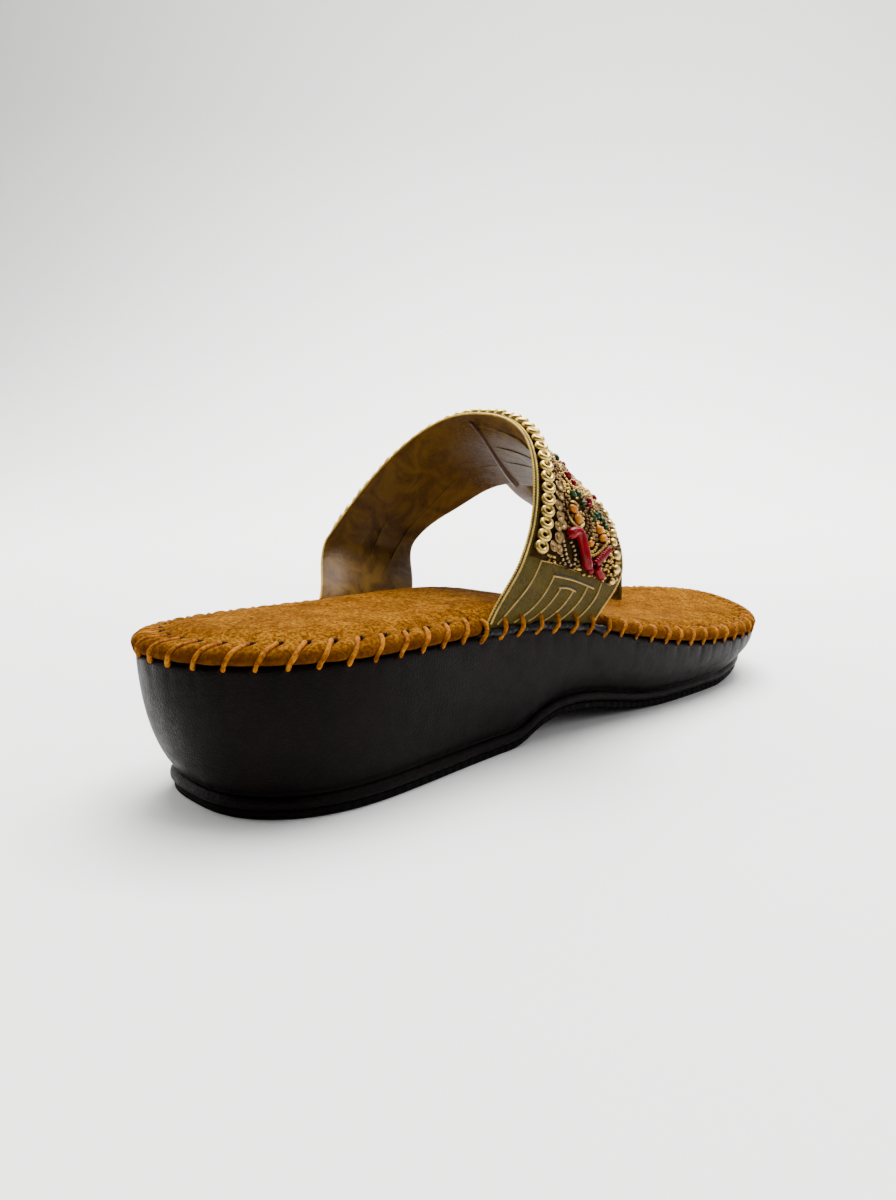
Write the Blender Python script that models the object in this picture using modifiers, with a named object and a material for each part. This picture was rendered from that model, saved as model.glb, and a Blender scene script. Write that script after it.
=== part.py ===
"""Open slipper for the right foot: a wedge sole, a padded footbed and one beaded strap with a toe post.

Metres. +Y runs from heel to toe, +X to the outer side of the foot, +Z up.
While the pieces are made, the heel's tip is at Y = 0 and the slipper stands on Z = 0.
"""

import bpy
import numpy as np

# Driving sizes
LENGTH = 0.255  # along the top of the sole's wall
MEDIAL_BALL = 0.0466  # axis to the widest place of the inner side
LATERAL_BALL = 0.0400  # axis to the widest place of the outer side
HEEL_HEIGHT = 0.0391  # top of the sole's wall at the heel
TOE_LIFT = 0.0055  # underside above the floor at the toe's tip
ARCH_LIFT = 0.0063  # underside above the floor under the arch
MEDIAL_RISE = 0.0037  # how much higher the inner side's wall is at the toes
FLARE = 0.0087  # how far the wall leans in, top to bottom, at the back of the heel
INSTEP_HEIGHT = 0.0955  # floor to the lining under the strap's crest

OUTSOLE_THICKNESS = 0.0022
OUTSOLE_SETBACK = 0.0009  # outsole's edge inside the lip's
LIP_HEIGHT = 0.0032
LIP_OVERHANG = 0.0016  # lip's reach beyond the wall just above it
RIM_RADIUS = 0.0013
FOOTBED_THICKNESS = 0.0037
ROLL_HEIGHT = 0.0041  # footbed's rolled edge, above the wall's top
ROLL_WIDTH = 0.0072  # from the edge to where the roll has run out
ROLL_OVERHANG = 0.0007
STRAP_WALL = 0.0026
STRAP_SETBACK = 0.0004  # strap's outer face inside the wall's top edge
POST_WIDTH = 0.0050
THONG_ROOT = 0.0115  # thong's width where the two wings meet
PANEL_THICKNESS = 0.0014
PANEL_MARGIN = 0.0016  # bare strap left along both edges of the panel
GAP = 0.0003  # between pieces that touch
SLOT_GAP = 0.0005  # round the post and at the strap's feet

SIDE_BLEND = 0.022  # width over which the inner side's rise fades across the foot

# Fineness of the meshes
ROWS = 48  # stations from heel to toe
CAP_COLUMNS = 6  # faces across the top and the underside
FOOT_PLACES = 21  # places down a wing's foot where its stretch along the sole is measured
NOTCH_STATIONS = 9  # stations along each notch in the footbed
NORMAL_STEP = 0.004  # share of the strap over which its outward direction is measured
SMOOTH_ANGLE = 40  # degrees between faces up to which they are shaded as one

# Stations of the sole. Each column is a share of the size named under it.
# along    medial   lateral   top      scoop   flare    medial_rise
# LENGTH   MEDIAL_  LATERAL_  HEEL_    TOE_    FLARE    MEDIAL_RISE
#          BALL     BALL      HEIGHT   LIFT
SECTIONS = (
    (0.00, 0.00, 0.00, 1.000, 0.00, 1.00, -0.24),
    (0.03, 0.44, 0.51, 0.992, 0.00, 0.66, -0.24),
    (0.08, 0.59, 0.76, 0.985, 0.00, 0.42, -0.24),
    (0.15, 0.65, 0.87, 0.974, 0.00, 0.30, -0.22),
    (0.25, 0.62, 0.87, 0.964, 0.00, 0.38, -0.18),
    (0.35, 0.60, 0.85, 0.957, 0.00, 0.50, -0.15),
    (0.45, 0.66, 0.89, 0.895, 0.00, 0.69, -0.03),
    (0.55, 0.74, 0.95, 0.744, 0.00, 0.72, 0.19),
    (0.65, 0.90, 0.99, 0.596, 0.00, 0.70, 0.43),
    (0.73, 1.00, 1.00, 0.524, 0.00, 0.68, 0.62),
    (0.80, 0.97, 0.98, 0.491, 0.00, 0.64, 0.76),
    (0.87, 0.85, 0.89, 0.478, 0.44, 0.57, 0.92),
    (0.93, 0.68, 0.67, 0.476, 0.72, 0.50, 1.00),
    (0.97, 0.49, 0.40, 0.476, 0.89, 0.44, 1.00),
    (1.00, 0.10, -0.10, 0.478, 1.00, 0.40, 1.00),
)
# The arch's scoop along the foot, as shares of LENGTH and of ARCH_LIFT
ARCH = (
    (0.370, 0.00),
    (0.385, 0.04),
    (0.400, 0.20),
    (0.420, 0.54),
    (0.450, 0.89),
    (0.480, 1.00),
    (0.530, 0.82),
    (0.600, 0.27),
    (0.650, 0.05),
    (0.690, 0.00),
)

# The sole's rounded top edge: inset and drop, shares of RIM_RADIUS
RIM = ((1.00, 0.00), (0.30, 0.30), (0.00, 1.00))
# The wall between rim and lip: share of its height from the top, share of its lean
WALL = ((0.12, 0.02), (0.25, 0.06), (0.43, 0.15), (0.64, 0.33), (0.82, 0.58), (0.94, 0.83), (1.00, 1.00))
# The lip: inset from its outermost line and height, shares of LIP_OVERHANG and of LIP_HEIGHT
LIP = ((0.35, 0.88), (0.00, 0.58), (0.00, 0.22), (0.40, 0.00))

# The footbed's rolled edge, from the inside over the top and back under
ROLL = (
    # inset (share of ROLL_WIDTH, or of ROLL_OVERHANG where below 0), height (share of ROLL_HEIGHT)
    (0.72, 0.97),
    (0.45, 1.00),
    (0.22, 0.96),
    (0.02, 0.78),
    (-1.00, 0.50),
    (-0.90, 0.28),
    (0.02, 0.07),
    (0.30, 0.00),
)

# The last under the strap: along and crest height (shares of LENGTH and INSTEP_HEIGHT),
# crest's place and the swell of each side beyond the sole's edge (shares of LATERAL_BALL)
LAST = (
    # along  crest   centre  lateral  medial
    (0.27, 1.300, -0.07, 0.00, 0.27),
    (0.35, 1.160, -0.07, 0.01, 0.27),
    (0.43, 1.000, -0.08, 0.03, 0.24),
    (0.49, 0.880, -0.15, 0.04, 0.17),
    (0.55, 0.770, -0.23, 0.02, 0.11),
    (0.60, 0.700, -0.25, 0.03, 0.06),
)
LATERAL_SQUARENESS = 2.4  # 2 is an ellipse
MEDIAL_SQUARENESS = 1.95
FOOT_BLEND = 0.020  # height over which the strap turns in to the sole's edge

# Edges of the strap, shares of LENGTH, by place across: -1 inner base, 0 crest, 1 outer base
EDGES = (
    # across  rear    front
    (-1.00, 0.262, 0.415),
    (-0.90, 0.295, 0.437),
    (-0.72, 0.350, 0.469),
    (-0.52, 0.391, 0.510),
    (-0.30, 0.416, 0.534),
    (0.00, 0.428, 0.546),
    (0.46, 0.408, 0.543),
    (0.67, 0.388, 0.535),
    (0.86, 0.357, 0.514),
    (1.00, 0.310, 0.486),
)
WING_FACES = 12  # faces across each wing, down to the panel's end
FOOT_FACES = 5  # faces from there to the wing's base
FOOT_CROWDING = 1.3  # above 1, the faces grow smaller towards the base
THONG_FACES = 4
STRAP_FACES = 8  # faces from the rear edge to the front edge
THONG_REACH = 0.13  # the thong's columns reach this far across on each side

# The thong from the wings to the top of its post: along (share of LENGTH), height (share of the
# way from the sole's top at the post up to INSTEP_HEIGHT), place across (share of LATERAL_BALL),
# width (0 is POST_WIDTH, 1 is THONG_ROOT)
THONG = (
    # along  height  across  width
    (0.562, 0.666, -0.235, 0.70),
    (0.585, 0.622, -0.250, 0.42),
    (0.625, 0.560, -0.265, 0.20),
    (0.675, 0.490, -0.280, 0.08),
    (0.720, 0.430, -0.290, 0.00),
    (0.748, 0.379, -0.298, 0.00),
    (0.769, 0.330, -0.300, 0.00),
    (0.780, 0.269, -0.300, 0.00),
    (0.784, 0.198, -0.300, 0.00),
    (0.785, 0.120, -0.300, 0.00),
    (0.785, 0.000, -0.300, 0.00),
)

PANEL_REACH = 0.86  # how far down the outer wing the panel goes, in the strap's places across
INNER_RAISE = 1  # the panel ends this many of the strap's faces higher on the inner wing


def spline(knots, values):
    """A natural cubic spline through the knots, held level outside them."""
    knots, values = np.asarray(knots, float), np.asarray(values, float)
    count = len(knots)
    step = np.diff(knots)
    slope = np.diff(values) / step
    system = np.eye(count)
    right = np.zeros(count)
    for i in range(1, count - 1):
        system[i, i - 1 : i + 2] = step[i - 1], 2 * (step[i - 1] + step[i]), step[i]
        right[i] = 6 * (slope[i] - slope[i - 1])
    bend = np.linalg.solve(system, right)

    def value(at):
        at = np.clip(at, knots[0], knots[-1])
        i = np.clip(np.searchsorted(knots, at) - 1, 0, count - 2)
        left, rest = at - knots[i], knots[i + 1] - at
        return (
            (bend[i] * rest**3 + bend[i + 1] * left**3) / (6 * step[i])
            + (values[i] / step[i] - bend[i] * step[i] / 6) * rest
            + (values[i + 1] / step[i] - bend[i + 1] * step[i] / 6) * left
        )

    return value


def turn_of(along):
    """0 at the heel's tip and pi at the toe's: in this measure a round end has no upright tangent."""
    return np.arccos(1 - 2 * np.clip(along, 0, 1))


def carried_past(turns, values):
    """The same table mirrored past both tips, so that what is read from it runs level across them."""
    turns = np.concatenate([-turns[:0:-1], turns, 2 * np.pi - turns[-2::-1]])
    return turns, np.concatenate([values[:0:-1], values, values[-2::-1]])


ALONG, MEDIAL, LATERAL, TOP, SCOOP, LEAN, RISE = np.array(SECTIONS).T
medial_share = spline(turn_of(ALONG), MEDIAL)
lateral_share = spline(turn_of(ALONG), LATERAL)
top_share = spline(ALONG, TOP)
lean_share = spline(*carried_past(turn_of(ALONG), LEAN))
rise_share = spline(ALONG, RISE)
arch_share = spline(*zip(*ARCH))


def flare_at(along):
    """How far the foot of the wall stands inside its top edge."""
    return FLARE * lean_share(turn_of(along))


def underside_at(along):
    """Height of the outsole's underside above the floor."""
    inside = (along > ARCH[0][0]) & (along < ARCH[-1][0])
    arch = np.where(inside, np.clip(arch_share(along), 0, None), 0)
    return TOE_LIFT * np.interp(along, ALONG, SCOOP) + ARCH_LIFT * arch


def top_at(x, along):
    """Height of the top of the sole's wall, which is also the face under the footbed."""
    inner_side = 0.5 - 0.5 * np.tanh(x / SIDE_BLEND)
    return HEEL_HEIGHT * top_share(along) + MEDIAL_RISE * rise_share(along) * inner_side


def outline():
    """The top edge of the wall as one loop: place, outward direction and share of the length."""
    turn = np.linspace(0, np.pi, ROWS)
    along = (1 - np.cos(turn)) / 2
    inner = np.stack([-MEDIAL_BALL * medial_share(turn), LENGTH * along], 1)
    outer = np.stack([LATERAL_BALL * lateral_share(turn), LENGTH * along], 1)
    inner[0] = outer[0] = (inner[0] + outer[0]) / 2
    inner[-1] = outer[-1] = (inner[-1] + outer[-1]) / 2
    loop = np.concatenate([inner, outer[-2:0:-1]])
    share = np.concatenate([along, along[-2:0:-1]])
    ahead = np.roll(loop, -1, 0) - loop
    behind = loop - np.roll(loop, 1, 0)
    # Each neighbour's chord weighs by the other's length, which suits uneven steps.
    ahead_length = np.linalg.norm(ahead, axis=1)[:, None]
    behind_length = np.linalg.norm(behind, axis=1)[:, None]
    tangent = ahead * behind_length + behind * ahead_length
    tangent = tangent / np.linalg.norm(tangent, axis=1)[:, None]
    outward = np.stack([-tangent[:, 1], tangent[:, 0]], 1)
    return loop, outward, share


def side_at(y, side):
    """Across place of the wall's top edge: side 1 is the outer one, -1 the inner one."""
    turn = turn_of(y / LENGTH)
    if side > 0:
        return LATERAL_BALL * lateral_share(turn)
    return -MEDIAL_BALL * medial_share(turn)


def material(name, colour, roughness, metallic=0.0):
    made = bpy.data.materials.new(name)
    made.use_nodes = True
    shader = made.node_tree.nodes["Principled BSDF"]
    shader.inputs["Base Color"].default_value = (*colour, 1)
    shader.inputs["Roughness"].default_value = roughness
    shader.inputs["Metallic"].default_value = metallic
    return made


def add_mesh(name, points, faces, collection, finish=None):
    mesh = bpy.data.meshes.new(name)
    mesh.from_pydata([tuple(map(float, p)) for p in points], [], faces)
    mesh.update()
    made = bpy.data.objects.new(name, mesh)
    if finish:
        mesh.materials.append(finish)
        mesh.shade_smooth()
        mesh.set_sharp_from_angle(angle=np.radians(SMOOTH_ANGLE))
    collection.objects.link(made)
    return made


def add_shell(name, grid, wall, collection, finish, more_faces=(), more_points=()):
    """An open grid of points, thickened outward by the wall."""
    rows, columns = grid.shape[:2]
    faces = []
    for i in range(rows - 1):
        for j in range(columns - 1):
            a = i * columns + j
            faces.append((a, a + 1, a + columns + 1, a + columns))
    points = list(grid.reshape(-1, 3)) + list(more_points)
    made = add_mesh(name, points, faces + list(more_faces), collection, finish)
    thick = made.modifiers.new("wall", "SOLIDIFY")
    thick.thickness = wall
    thick.offset = 1
    thick.use_even_offset = True
    return made


def add_loft(name, rings, collection, finish, upper, lower):
    """A solid from loops of equal count, top to bottom. The grids of faces that close it lie on
    the surfaces upper and lower, which give a height for a place across and a share of the length."""
    points = [p for loop in rings for p in loop]
    count = len(rings[0])
    faces = []
    for k in range(len(rings) - 1):
        for i in range(count):
            a, b = k * count + i, k * count + (i + 1) % count
            faces.append((a, b, b + count, a + count))
    for start, height in ((0, upper), (len(points) - count, lower)):
        previous = [start]
        for row in range(1, ROWS - 1):
            inner, outer = start + row, start + count - row
            line = [inner]
            for column in range(1, CAP_COLUMNS):
                share = column / CAP_COLUMNS
                x, y, _ = points[inner] * (1 - share) + points[outer] * share
                line.append(len(points))
                points.append(np.array([x, y, height(x, y / LENGTH)]))
            line.append(outer)
            faces += strip(previous, line, start == 0)
            previous = line
        faces += strip(previous, [start + ROWS - 1], start == 0)
    return add_mesh(name, points, faces, collection, finish)


def strip(line_a, line_b, upward):
    """Faces between two lines of points, one of which may be a single point."""
    faces = []
    for i in range(max(len(line_a), len(line_b)) - 1):
        if len(line_a) == 1:
            face = (line_a[0], line_b[i + 1], line_b[i])
        elif len(line_b) == 1:
            face = (line_a[i], line_a[i + 1], line_b[0])
        else:
            face = (line_a[i], line_a[i + 1], line_b[i + 1], line_b[i])
        faces.append(face if upward else face[::-1])
    return faces


def ring(inset, height):
    """One loop round the foot, this far inside the wall's top edge, at heights or on a surface."""
    loop, outward, _ = outline()
    place = loop - outward * np.reshape(inset, (-1, 1))
    if callable(height):
        height = height(place[:, 0], place[:, 1] / LENGTH)
    return np.column_stack([place, height])


def sole_under(_, along):
    return underside_at(along) + OUTSOLE_THICKNESS + GAP


def make_sole(collection):
    loop, _, share = outline()
    top = top_at(loop[:, 0], share)
    flare = flare_at(share)
    bottom = ring(flare, sole_under)[:, 2]
    wall_height = top - RIM_RADIUS - (bottom + LIP_HEIGHT)
    rings = []
    for inset, drop in RIM:
        rings.append(ring(RIM_RADIUS * inset, lambda x, along: top_at(x, along) - RIM_RADIUS * drop))
    for down, lean in WALL:
        rings.append(ring((flare + LIP_OVERHANG) * lean, top - RIM_RADIUS - wall_height * down))
    for inset, up in LIP:
        away = flare + LIP_OVERHANG * inset
        rings.append(ring(away, lambda x, along: sole_under(x, along) + LIP_HEIGHT * up))
    black = material("black_leatherette", (0.022, 0.012, 0.010), 0.42)
    return add_loft("sole", rings, collection, black, top_at, sole_under)


def outsole_top(_, along):
    return underside_at(along) + OUTSOLE_THICKNESS


def outsole_under(_, along):
    return underside_at(along)


def make_outsole(collection):
    _, _, share = outline()
    edge = flare_at(share) + OUTSOLE_SETBACK
    chamfer = OUTSOLE_THICKNESS / 4
    rings = [
        ring(edge + chamfer, outsole_top),
        ring(edge, lambda x, along: outsole_top(x, along) - chamfer),
        ring(edge, lambda x, along: outsole_under(x, along) + chamfer),
        ring(edge + chamfer, outsole_under),
    ]
    rubber = material("outsole_rubber", (0.016, 0.013, 0.012), 0.7)
    return add_loft("outsole", rings, collection, rubber, outsole_top, outsole_under)


def feet():
    """For each side, the stretch along the foot that the strap takes up at the footbed's height."""
    found = []
    for side in (-1, 1):
        stretch = []
        for across in np.linspace(PANEL_REACH, 1, FOOT_PLACES) * side:
            base = last_point(side, strap_point(across, 0)[1])[2]
            for point in (strap_point(across, 0), strap_point(across, 1)):
                if point[2] < base + ROLL_HEIGHT:
                    stretch.append(point[1])
        found.append((side, min(stretch), max(stretch)))
    return found


def footbed_under(x, along):
    return top_at(x, along) + GAP


def footbed_top(x, along):
    return footbed_under(x, along) + FOOTBED_THICKNESS


def make_footbed(collection, cutters):
    rings = [ring(ROLL_WIDTH, footbed_top)]
    for inset, up in ROLL:
        away = inset * (ROLL_WIDTH if inset > 0 else ROLL_OVERHANG)
        rings.append(ring(away, lambda x, along: footbed_under(x, along) + ROLL_HEIGHT * up))
    suede = material("tan_suede", (0.36, 0.15, 0.04), 0.95)
    footbed = add_loft("footbed", rings, collection, suede, footbed_top, footbed_under)
    depth = STRAP_SETBACK + STRAP_WALL + SLOT_GAP
    for side, rear, front in feet():
        cut(footbed, strap_notch(side, rear - SLOT_GAP, front + SLOT_GAP, depth, cutters))
    cut(footbed, post_slot(cutters))
    return footbed


def strap_notch(side, rear, front, depth, cutters):
    """A block that follows the sole's edge and takes the footbed's rim away for one strap foot."""
    reach = ROLL_WIDTH + ROLL_HEIGHT
    points = []
    for y in np.linspace(rear, front, NOTCH_STATIONS):
        edge = side_at(y, side)
        top = top_at(edge, y / LENGTH)
        inner, outer = edge - side * depth, edge + side * reach
        low, high = top - reach, top + reach
        points += [(inner, y, low), (outer, y, low), (outer, y, high), (inner, y, high)]
    faces = [(0, 1, 2, 3)]
    for a in range(0, 4 * (NOTCH_STATIONS - 1), 4):
        faces += [(a + k, a + 4 + k, a + 4 + (k + 1) % 4, a + (k + 1) % 4) for k in range(4)]
    last = len(points) - 4
    faces.append((last + 3, last + 2, last + 1, last))
    if side < 0:
        faces = [face[::-1] for face in faces]
    return add_mesh("notch_outer" if side > 0 else "notch_inner", points, faces, cutters)


def post_place():
    along, _, across, _ = THONG[-1]
    return LATERAL_BALL * across, LENGTH * along


def post_slot(cutters):
    """A block that takes the footbed away round the strap's post."""
    x, y = post_place()
    depth = GAP + FOOTBED_THICKNESS
    bpy.ops.mesh.primitive_cube_add(size=1)
    slot = bpy.context.object
    slot.name = "post_slot"
    slot.scale = (POST_WIDTH + 2 * SLOT_GAP, STRAP_WALL + 2 * SLOT_GAP, 3 * depth)
    slot.location = (x, y + STRAP_WALL / 2, top_at(x, y / LENGTH) + depth / 2)
    for owner in slot.users_collection:
        owner.objects.unlink(slot)
    cutters.objects.link(slot)
    return slot


def cut(target, cutter):
    cutter.hide_render = True
    cutter.display_type = "WIRE"
    boolean = target.modifiers.new(cutter.name, "BOOLEAN")
    boolean.operation = "DIFFERENCE"
    boolean.object = cutter


last_along, last_crest, last_centre, last_lateral, last_medial = np.array(LAST).T
crest_share = spline(last_along, last_crest)
centre_share = spline(last_along, last_centre)
lateral_swell = spline(last_along, last_lateral)
medial_swell = spline(last_along, last_medial)
rear_edge = spline(*np.array(EDGES).T[:2])
front_edge = spline(*np.array(EDGES).T[[0, 2]])


def last_point(across, y):
    """A point of the foot's form under the strap, at a place across and a station along."""
    along = y / LENGTH
    side = 1 if across > 0 else -1
    centre = LATERAL_BALL * centre_share(along)
    crest = INSTEP_HEIGHT * crest_share(along)
    edge = side_at(y, side)
    base = top_at(edge, along) + GAP + SLOT_GAP / 2
    swell = lateral_swell(along) if side > 0 else medial_swell(along)
    wide = edge + side * LATERAL_BALL * swell
    angle = across * np.pi / 2
    squareness = LATERAL_SQUARENESS if side > 0 else MEDIAL_SQUARENESS
    out = abs(np.sin(angle)) ** (2 / squareness)
    up = abs(np.cos(angle)) ** (2 / squareness)
    z = base + (crest - base) * up
    x = centre + (wide - centre) * out
    foot = edge - side * (STRAP_SETBACK + STRAP_WALL)
    turned_in = max(0, 1 - ((z - base) / FOOT_BLEND) ** 2) ** 2
    return np.array([x + (foot - wide) * turned_in, y, z])


def strap_point(across, down):
    """A point of the strap's lining: down is 0 at the rear edge and 1 at the front edge."""
    rear, front = LENGTH * rear_edge(across), LENGTH * front_edge(across)
    return last_point(across, rear + (front - rear) * down)


def strap_normal(across, down):
    """The direction out of the foot at a point of the strap."""
    step = NORMAL_STEP
    a = strap_point(min(1, across + step), down) - strap_point(max(-1, across - step), down)
    b = strap_point(across, down + step) - strap_point(across, down - step)
    out = np.cross(a, b)
    return out / np.linalg.norm(out)


def strap_columns():
    """Places across the strap, from the inner base to the outer one."""
    wing = np.linspace(THONG_REACH, PANEL_REACH, WING_FACES + 1)[1:]
    foot = 1 - (1 - PANEL_REACH) * np.linspace(1, 0, FOOT_FACES + 1)[1:] ** FOOT_CROWDING
    half = np.concatenate([wing, foot])
    return np.concatenate([-half[::-1], np.linspace(-THONG_REACH, THONG_REACH, THONG_FACES + 1), half])


def thong_rows():
    """Place and half width of the thong at each row of its table, down to the sole's top."""
    x, y = post_place()
    base = top_at(x, y / LENGTH) + GAP
    rows = []
    for along, up, across, width in THONG:
        height = base + (INSTEP_HEIGHT - base) * up
        half = (POST_WIDTH + (THONG_ROOT - POST_WIDTH) * width) / 2
        rows.append((LATERAL_BALL * across, LENGTH * along, height, half))
    return rows


def make_strap(collection):
    columns = strap_columns()
    grid = np.array([[strap_point(a, d) for a in columns] for d in np.linspace(0, 1, STRAP_FACES + 1)])
    first = WING_FACES + FOOT_FACES
    previous = [STRAP_FACES * len(columns) + first + j for j in range(THONG_FACES + 1)]
    count = grid.shape[0] * grid.shape[1]
    points, faces = [], []
    for x, y, z, half in thong_rows():
        line = []
        for j in range(THONG_FACES + 1):
            line.append(count + len(points))
            points.append((x + half * (2 * j / THONG_FACES - 1), y, z))
        faces += [(previous[j], previous[j + 1], line[j + 1], line[j]) for j in range(THONG_FACES)]
        previous = line
    brocade = material("olive_brocade", (0.16, 0.12, 0.03), 0.55)
    return add_shell("strap", grid, STRAP_WALL, collection, brocade, faces, points)


def make_bead_panel(collection):
    """The raised bead field on the outer face of the strap."""
    rows = []
    offset = STRAP_WALL + GAP
    columns = strap_columns()[FOOT_FACES + INNER_RAISE : -FOOT_FACES]
    for share in np.linspace(0, 1, STRAP_FACES + 1):
        row = []
        for across in columns:
            width = np.linalg.norm(strap_point(across, 1) - strap_point(across, 0))
            margin = PANEL_MARGIN / width
            down = margin + (1 - 2 * margin) * share
            row.append(strap_point(across, down) + offset * strap_normal(across, down))
        rows.append(row)
    beads = material("bead_field", (0.45, 0.30, 0.10), 0.4, 0.6)
    return add_shell("bead_panel", np.array(rows), PANEL_THICKNESS, collection, beads)


def centre_on_origin(pieces):
    """Moves the whole slipper so that the middle of its box stands on the origin."""
    bpy.context.view_layer.update()
    graph = bpy.context.evaluated_depsgraph_get()
    low, high = np.full(3, np.inf), np.full(3, -np.inf)
    for piece in pieces:
        mesh = piece.evaluated_get(graph).to_mesh()
        points = np.array([v.co for v in mesh.vertices])
        low, high = np.minimum(low, points.min(0)), np.maximum(high, points.max(0))
    middle = (low + high) / 2
    frame = bpy.data.objects.new("slipper_frame", None)
    bpy.context.scene.collection.objects.link(frame)
    for piece in bpy.data.objects:
        if piece != frame:
            piece.parent = frame
    frame.location = (-middle[0], -middle[1], -low[2])


def main():
    for old in list(bpy.data.objects):
        bpy.data.objects.remove(old, do_unlink=True)
    slipper = bpy.data.collections.new("open_slipper")
    cutters = bpy.data.collections.new("cutters")
    for collection in (slipper, cutters):
        bpy.context.scene.collection.children.link(collection)
    pieces = [
        make_outsole(slipper),
        make_sole(slipper),
        make_footbed(slipper, cutters),
        make_strap(slipper),
        make_bead_panel(slipper),
    ]
    centre_on_origin(pieces)
    cutters.hide_render = True


main()
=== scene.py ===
"""Looks of an open slipper for the right foot: wedge sole, stitched suede footbed and a beaded strap.

Metres. +Y runs from heel to toe, +X to the outer side of the foot, +Z up. The forms are worked out
with the heel's tip at Y = 0, as in the part's source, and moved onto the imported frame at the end.
"""

import bpy
import numpy as np
from mathutils import Matrix, Vector


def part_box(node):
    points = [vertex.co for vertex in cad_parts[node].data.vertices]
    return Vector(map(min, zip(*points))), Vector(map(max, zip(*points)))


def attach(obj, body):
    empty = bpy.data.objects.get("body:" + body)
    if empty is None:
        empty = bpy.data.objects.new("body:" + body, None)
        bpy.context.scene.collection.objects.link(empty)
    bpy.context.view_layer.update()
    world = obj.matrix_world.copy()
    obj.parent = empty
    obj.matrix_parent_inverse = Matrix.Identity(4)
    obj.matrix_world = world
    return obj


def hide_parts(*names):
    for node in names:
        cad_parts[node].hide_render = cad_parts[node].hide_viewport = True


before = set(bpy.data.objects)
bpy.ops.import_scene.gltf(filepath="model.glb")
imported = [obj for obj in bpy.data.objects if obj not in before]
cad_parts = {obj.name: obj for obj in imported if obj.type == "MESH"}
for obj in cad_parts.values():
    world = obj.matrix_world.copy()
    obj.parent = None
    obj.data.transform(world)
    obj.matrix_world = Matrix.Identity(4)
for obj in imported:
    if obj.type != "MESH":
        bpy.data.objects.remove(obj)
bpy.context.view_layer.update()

MM = 0.001
RANDOM = np.random.default_rng(7)

# Sizes of the part, as in its source
LENGTH = 0.255
MEDIAL_BALL = 0.0466
LATERAL_BALL = 0.0400
HEEL_HEIGHT = 0.0391
TOE_LIFT = 0.0055
ARCH_LIFT = 0.0063
MEDIAL_RISE = 0.0037
FLARE = 0.0087
INSTEP_HEIGHT = 0.0955
OUTSOLE_THICKNESS = 0.0022
OUTSOLE_SETBACK = 0.0009
LIP_HEIGHT = 0.0032
LIP_OVERHANG = 0.0016
LIP_EASE = 0.65  # share of the lip's step that the leather bridges at the forefoot
RIM_RADIUS = 0.0013
ROLL_HEIGHT = 0.0041
ROLL_WIDTH = 0.0072
ROLL_OVERHANG = 0.0007
STRAP_WALL = 0.0026
STRAP_SETBACK = 0.0004
POST_WIDTH = 0.0050
THONG_ROOT = 0.0115
GAP = 0.0003
SLOT_GAP = 0.0005
SIDE_BLEND = 0.022
LATERAL_SQUARENESS = 2.4
MEDIAL_SQUARENESS = 1.95
FOOT_BLEND = 0.020
PANEL_REACH = 0.86

# along, medial, lateral, top, scoop, flare, medial rise
SECTIONS = (
    (0.00, 0.00, 0.00, 1.000, 0.00, 1.00, -0.24),
    (0.03, 0.44, 0.51, 0.992, 0.00, 0.66, -0.24),
    (0.08, 0.59, 0.76, 0.985, 0.00, 0.42, -0.24),
    (0.15, 0.65, 0.87, 0.974, 0.00, 0.30, -0.22),
    (0.25, 0.62, 0.87, 0.964, 0.00, 0.38, -0.18),
    (0.35, 0.60, 0.85, 0.957, 0.00, 0.50, -0.15),
    (0.45, 0.66, 0.89, 0.895, 0.00, 0.69, -0.03),
    (0.55, 0.74, 0.95, 0.744, 0.00, 0.72, 0.19),
    (0.65, 0.90, 0.99, 0.596, 0.00, 0.70, 0.43),
    (0.73, 1.00, 1.00, 0.524, 0.00, 0.68, 0.62),
    (0.80, 0.97, 0.98, 0.491, 0.00, 0.64, 0.76),
    (0.87, 0.85, 0.89, 0.478, 0.44, 0.57, 0.92),
    (0.93, 0.68, 0.67, 0.476, 0.72, 0.50, 1.00),
    (0.97, 0.49, 0.40, 0.476, 0.89, 0.44, 1.00),
    (1.00, 0.10, -0.10, 0.478, 1.00, 0.40, 1.00),
)
# along, share of ARCH_LIFT
ARCH = (
    (0.370, 0.00),
    (0.385, 0.04),
    (0.400, 0.20),
    (0.420, 0.54),
    (0.450, 0.89),
    (0.480, 1.00),
    (0.530, 0.82),
    (0.600, 0.27),
    (0.650, 0.05),
    (0.690, 0.00),
)
# share of the wall's height from the top, share of its lean
WALL = (
    (0.00, 0.00),
    (0.12, 0.02),
    (0.25, 0.06),
    (0.43, 0.15),
    (0.64, 0.33),
    (0.82, 0.58),
    (0.94, 0.83),
    (1.00, 1.00),
)
# inset and height, shares of LIP_OVERHANG and of LIP_HEIGHT
LIP = ((1.00, 1.00), (0.35, 0.88), (0.00, 0.58), (0.00, 0.22), (0.40, 0.00))
# inset (share of ROLL_WIDTH, or of ROLL_OVERHANG where below 0), height (share of ROLL_HEIGHT)
ROLL = (
    (0.30, 0.00),
    (0.02, 0.07),
    (-0.90, 0.28),
    (-1.00, 0.50),
    (0.02, 0.78),
    (0.22, 0.96),
    (0.45, 1.00),
    (0.72, 0.97),
    (1.00, 0.90),
)
# along, crest, centre, lateral swell, medial swell
LAST = (
    (0.27, 1.300, -0.07, 0.00, 0.27),
    (0.35, 1.160, -0.07, 0.01, 0.27),
    (0.43, 1.000, -0.08, 0.03, 0.24),
    (0.49, 0.880, -0.15, 0.04, 0.17),
    (0.55, 0.770, -0.23, 0.02, 0.11),
    (0.60, 0.700, -0.25, 0.03, 0.06),
)
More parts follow.
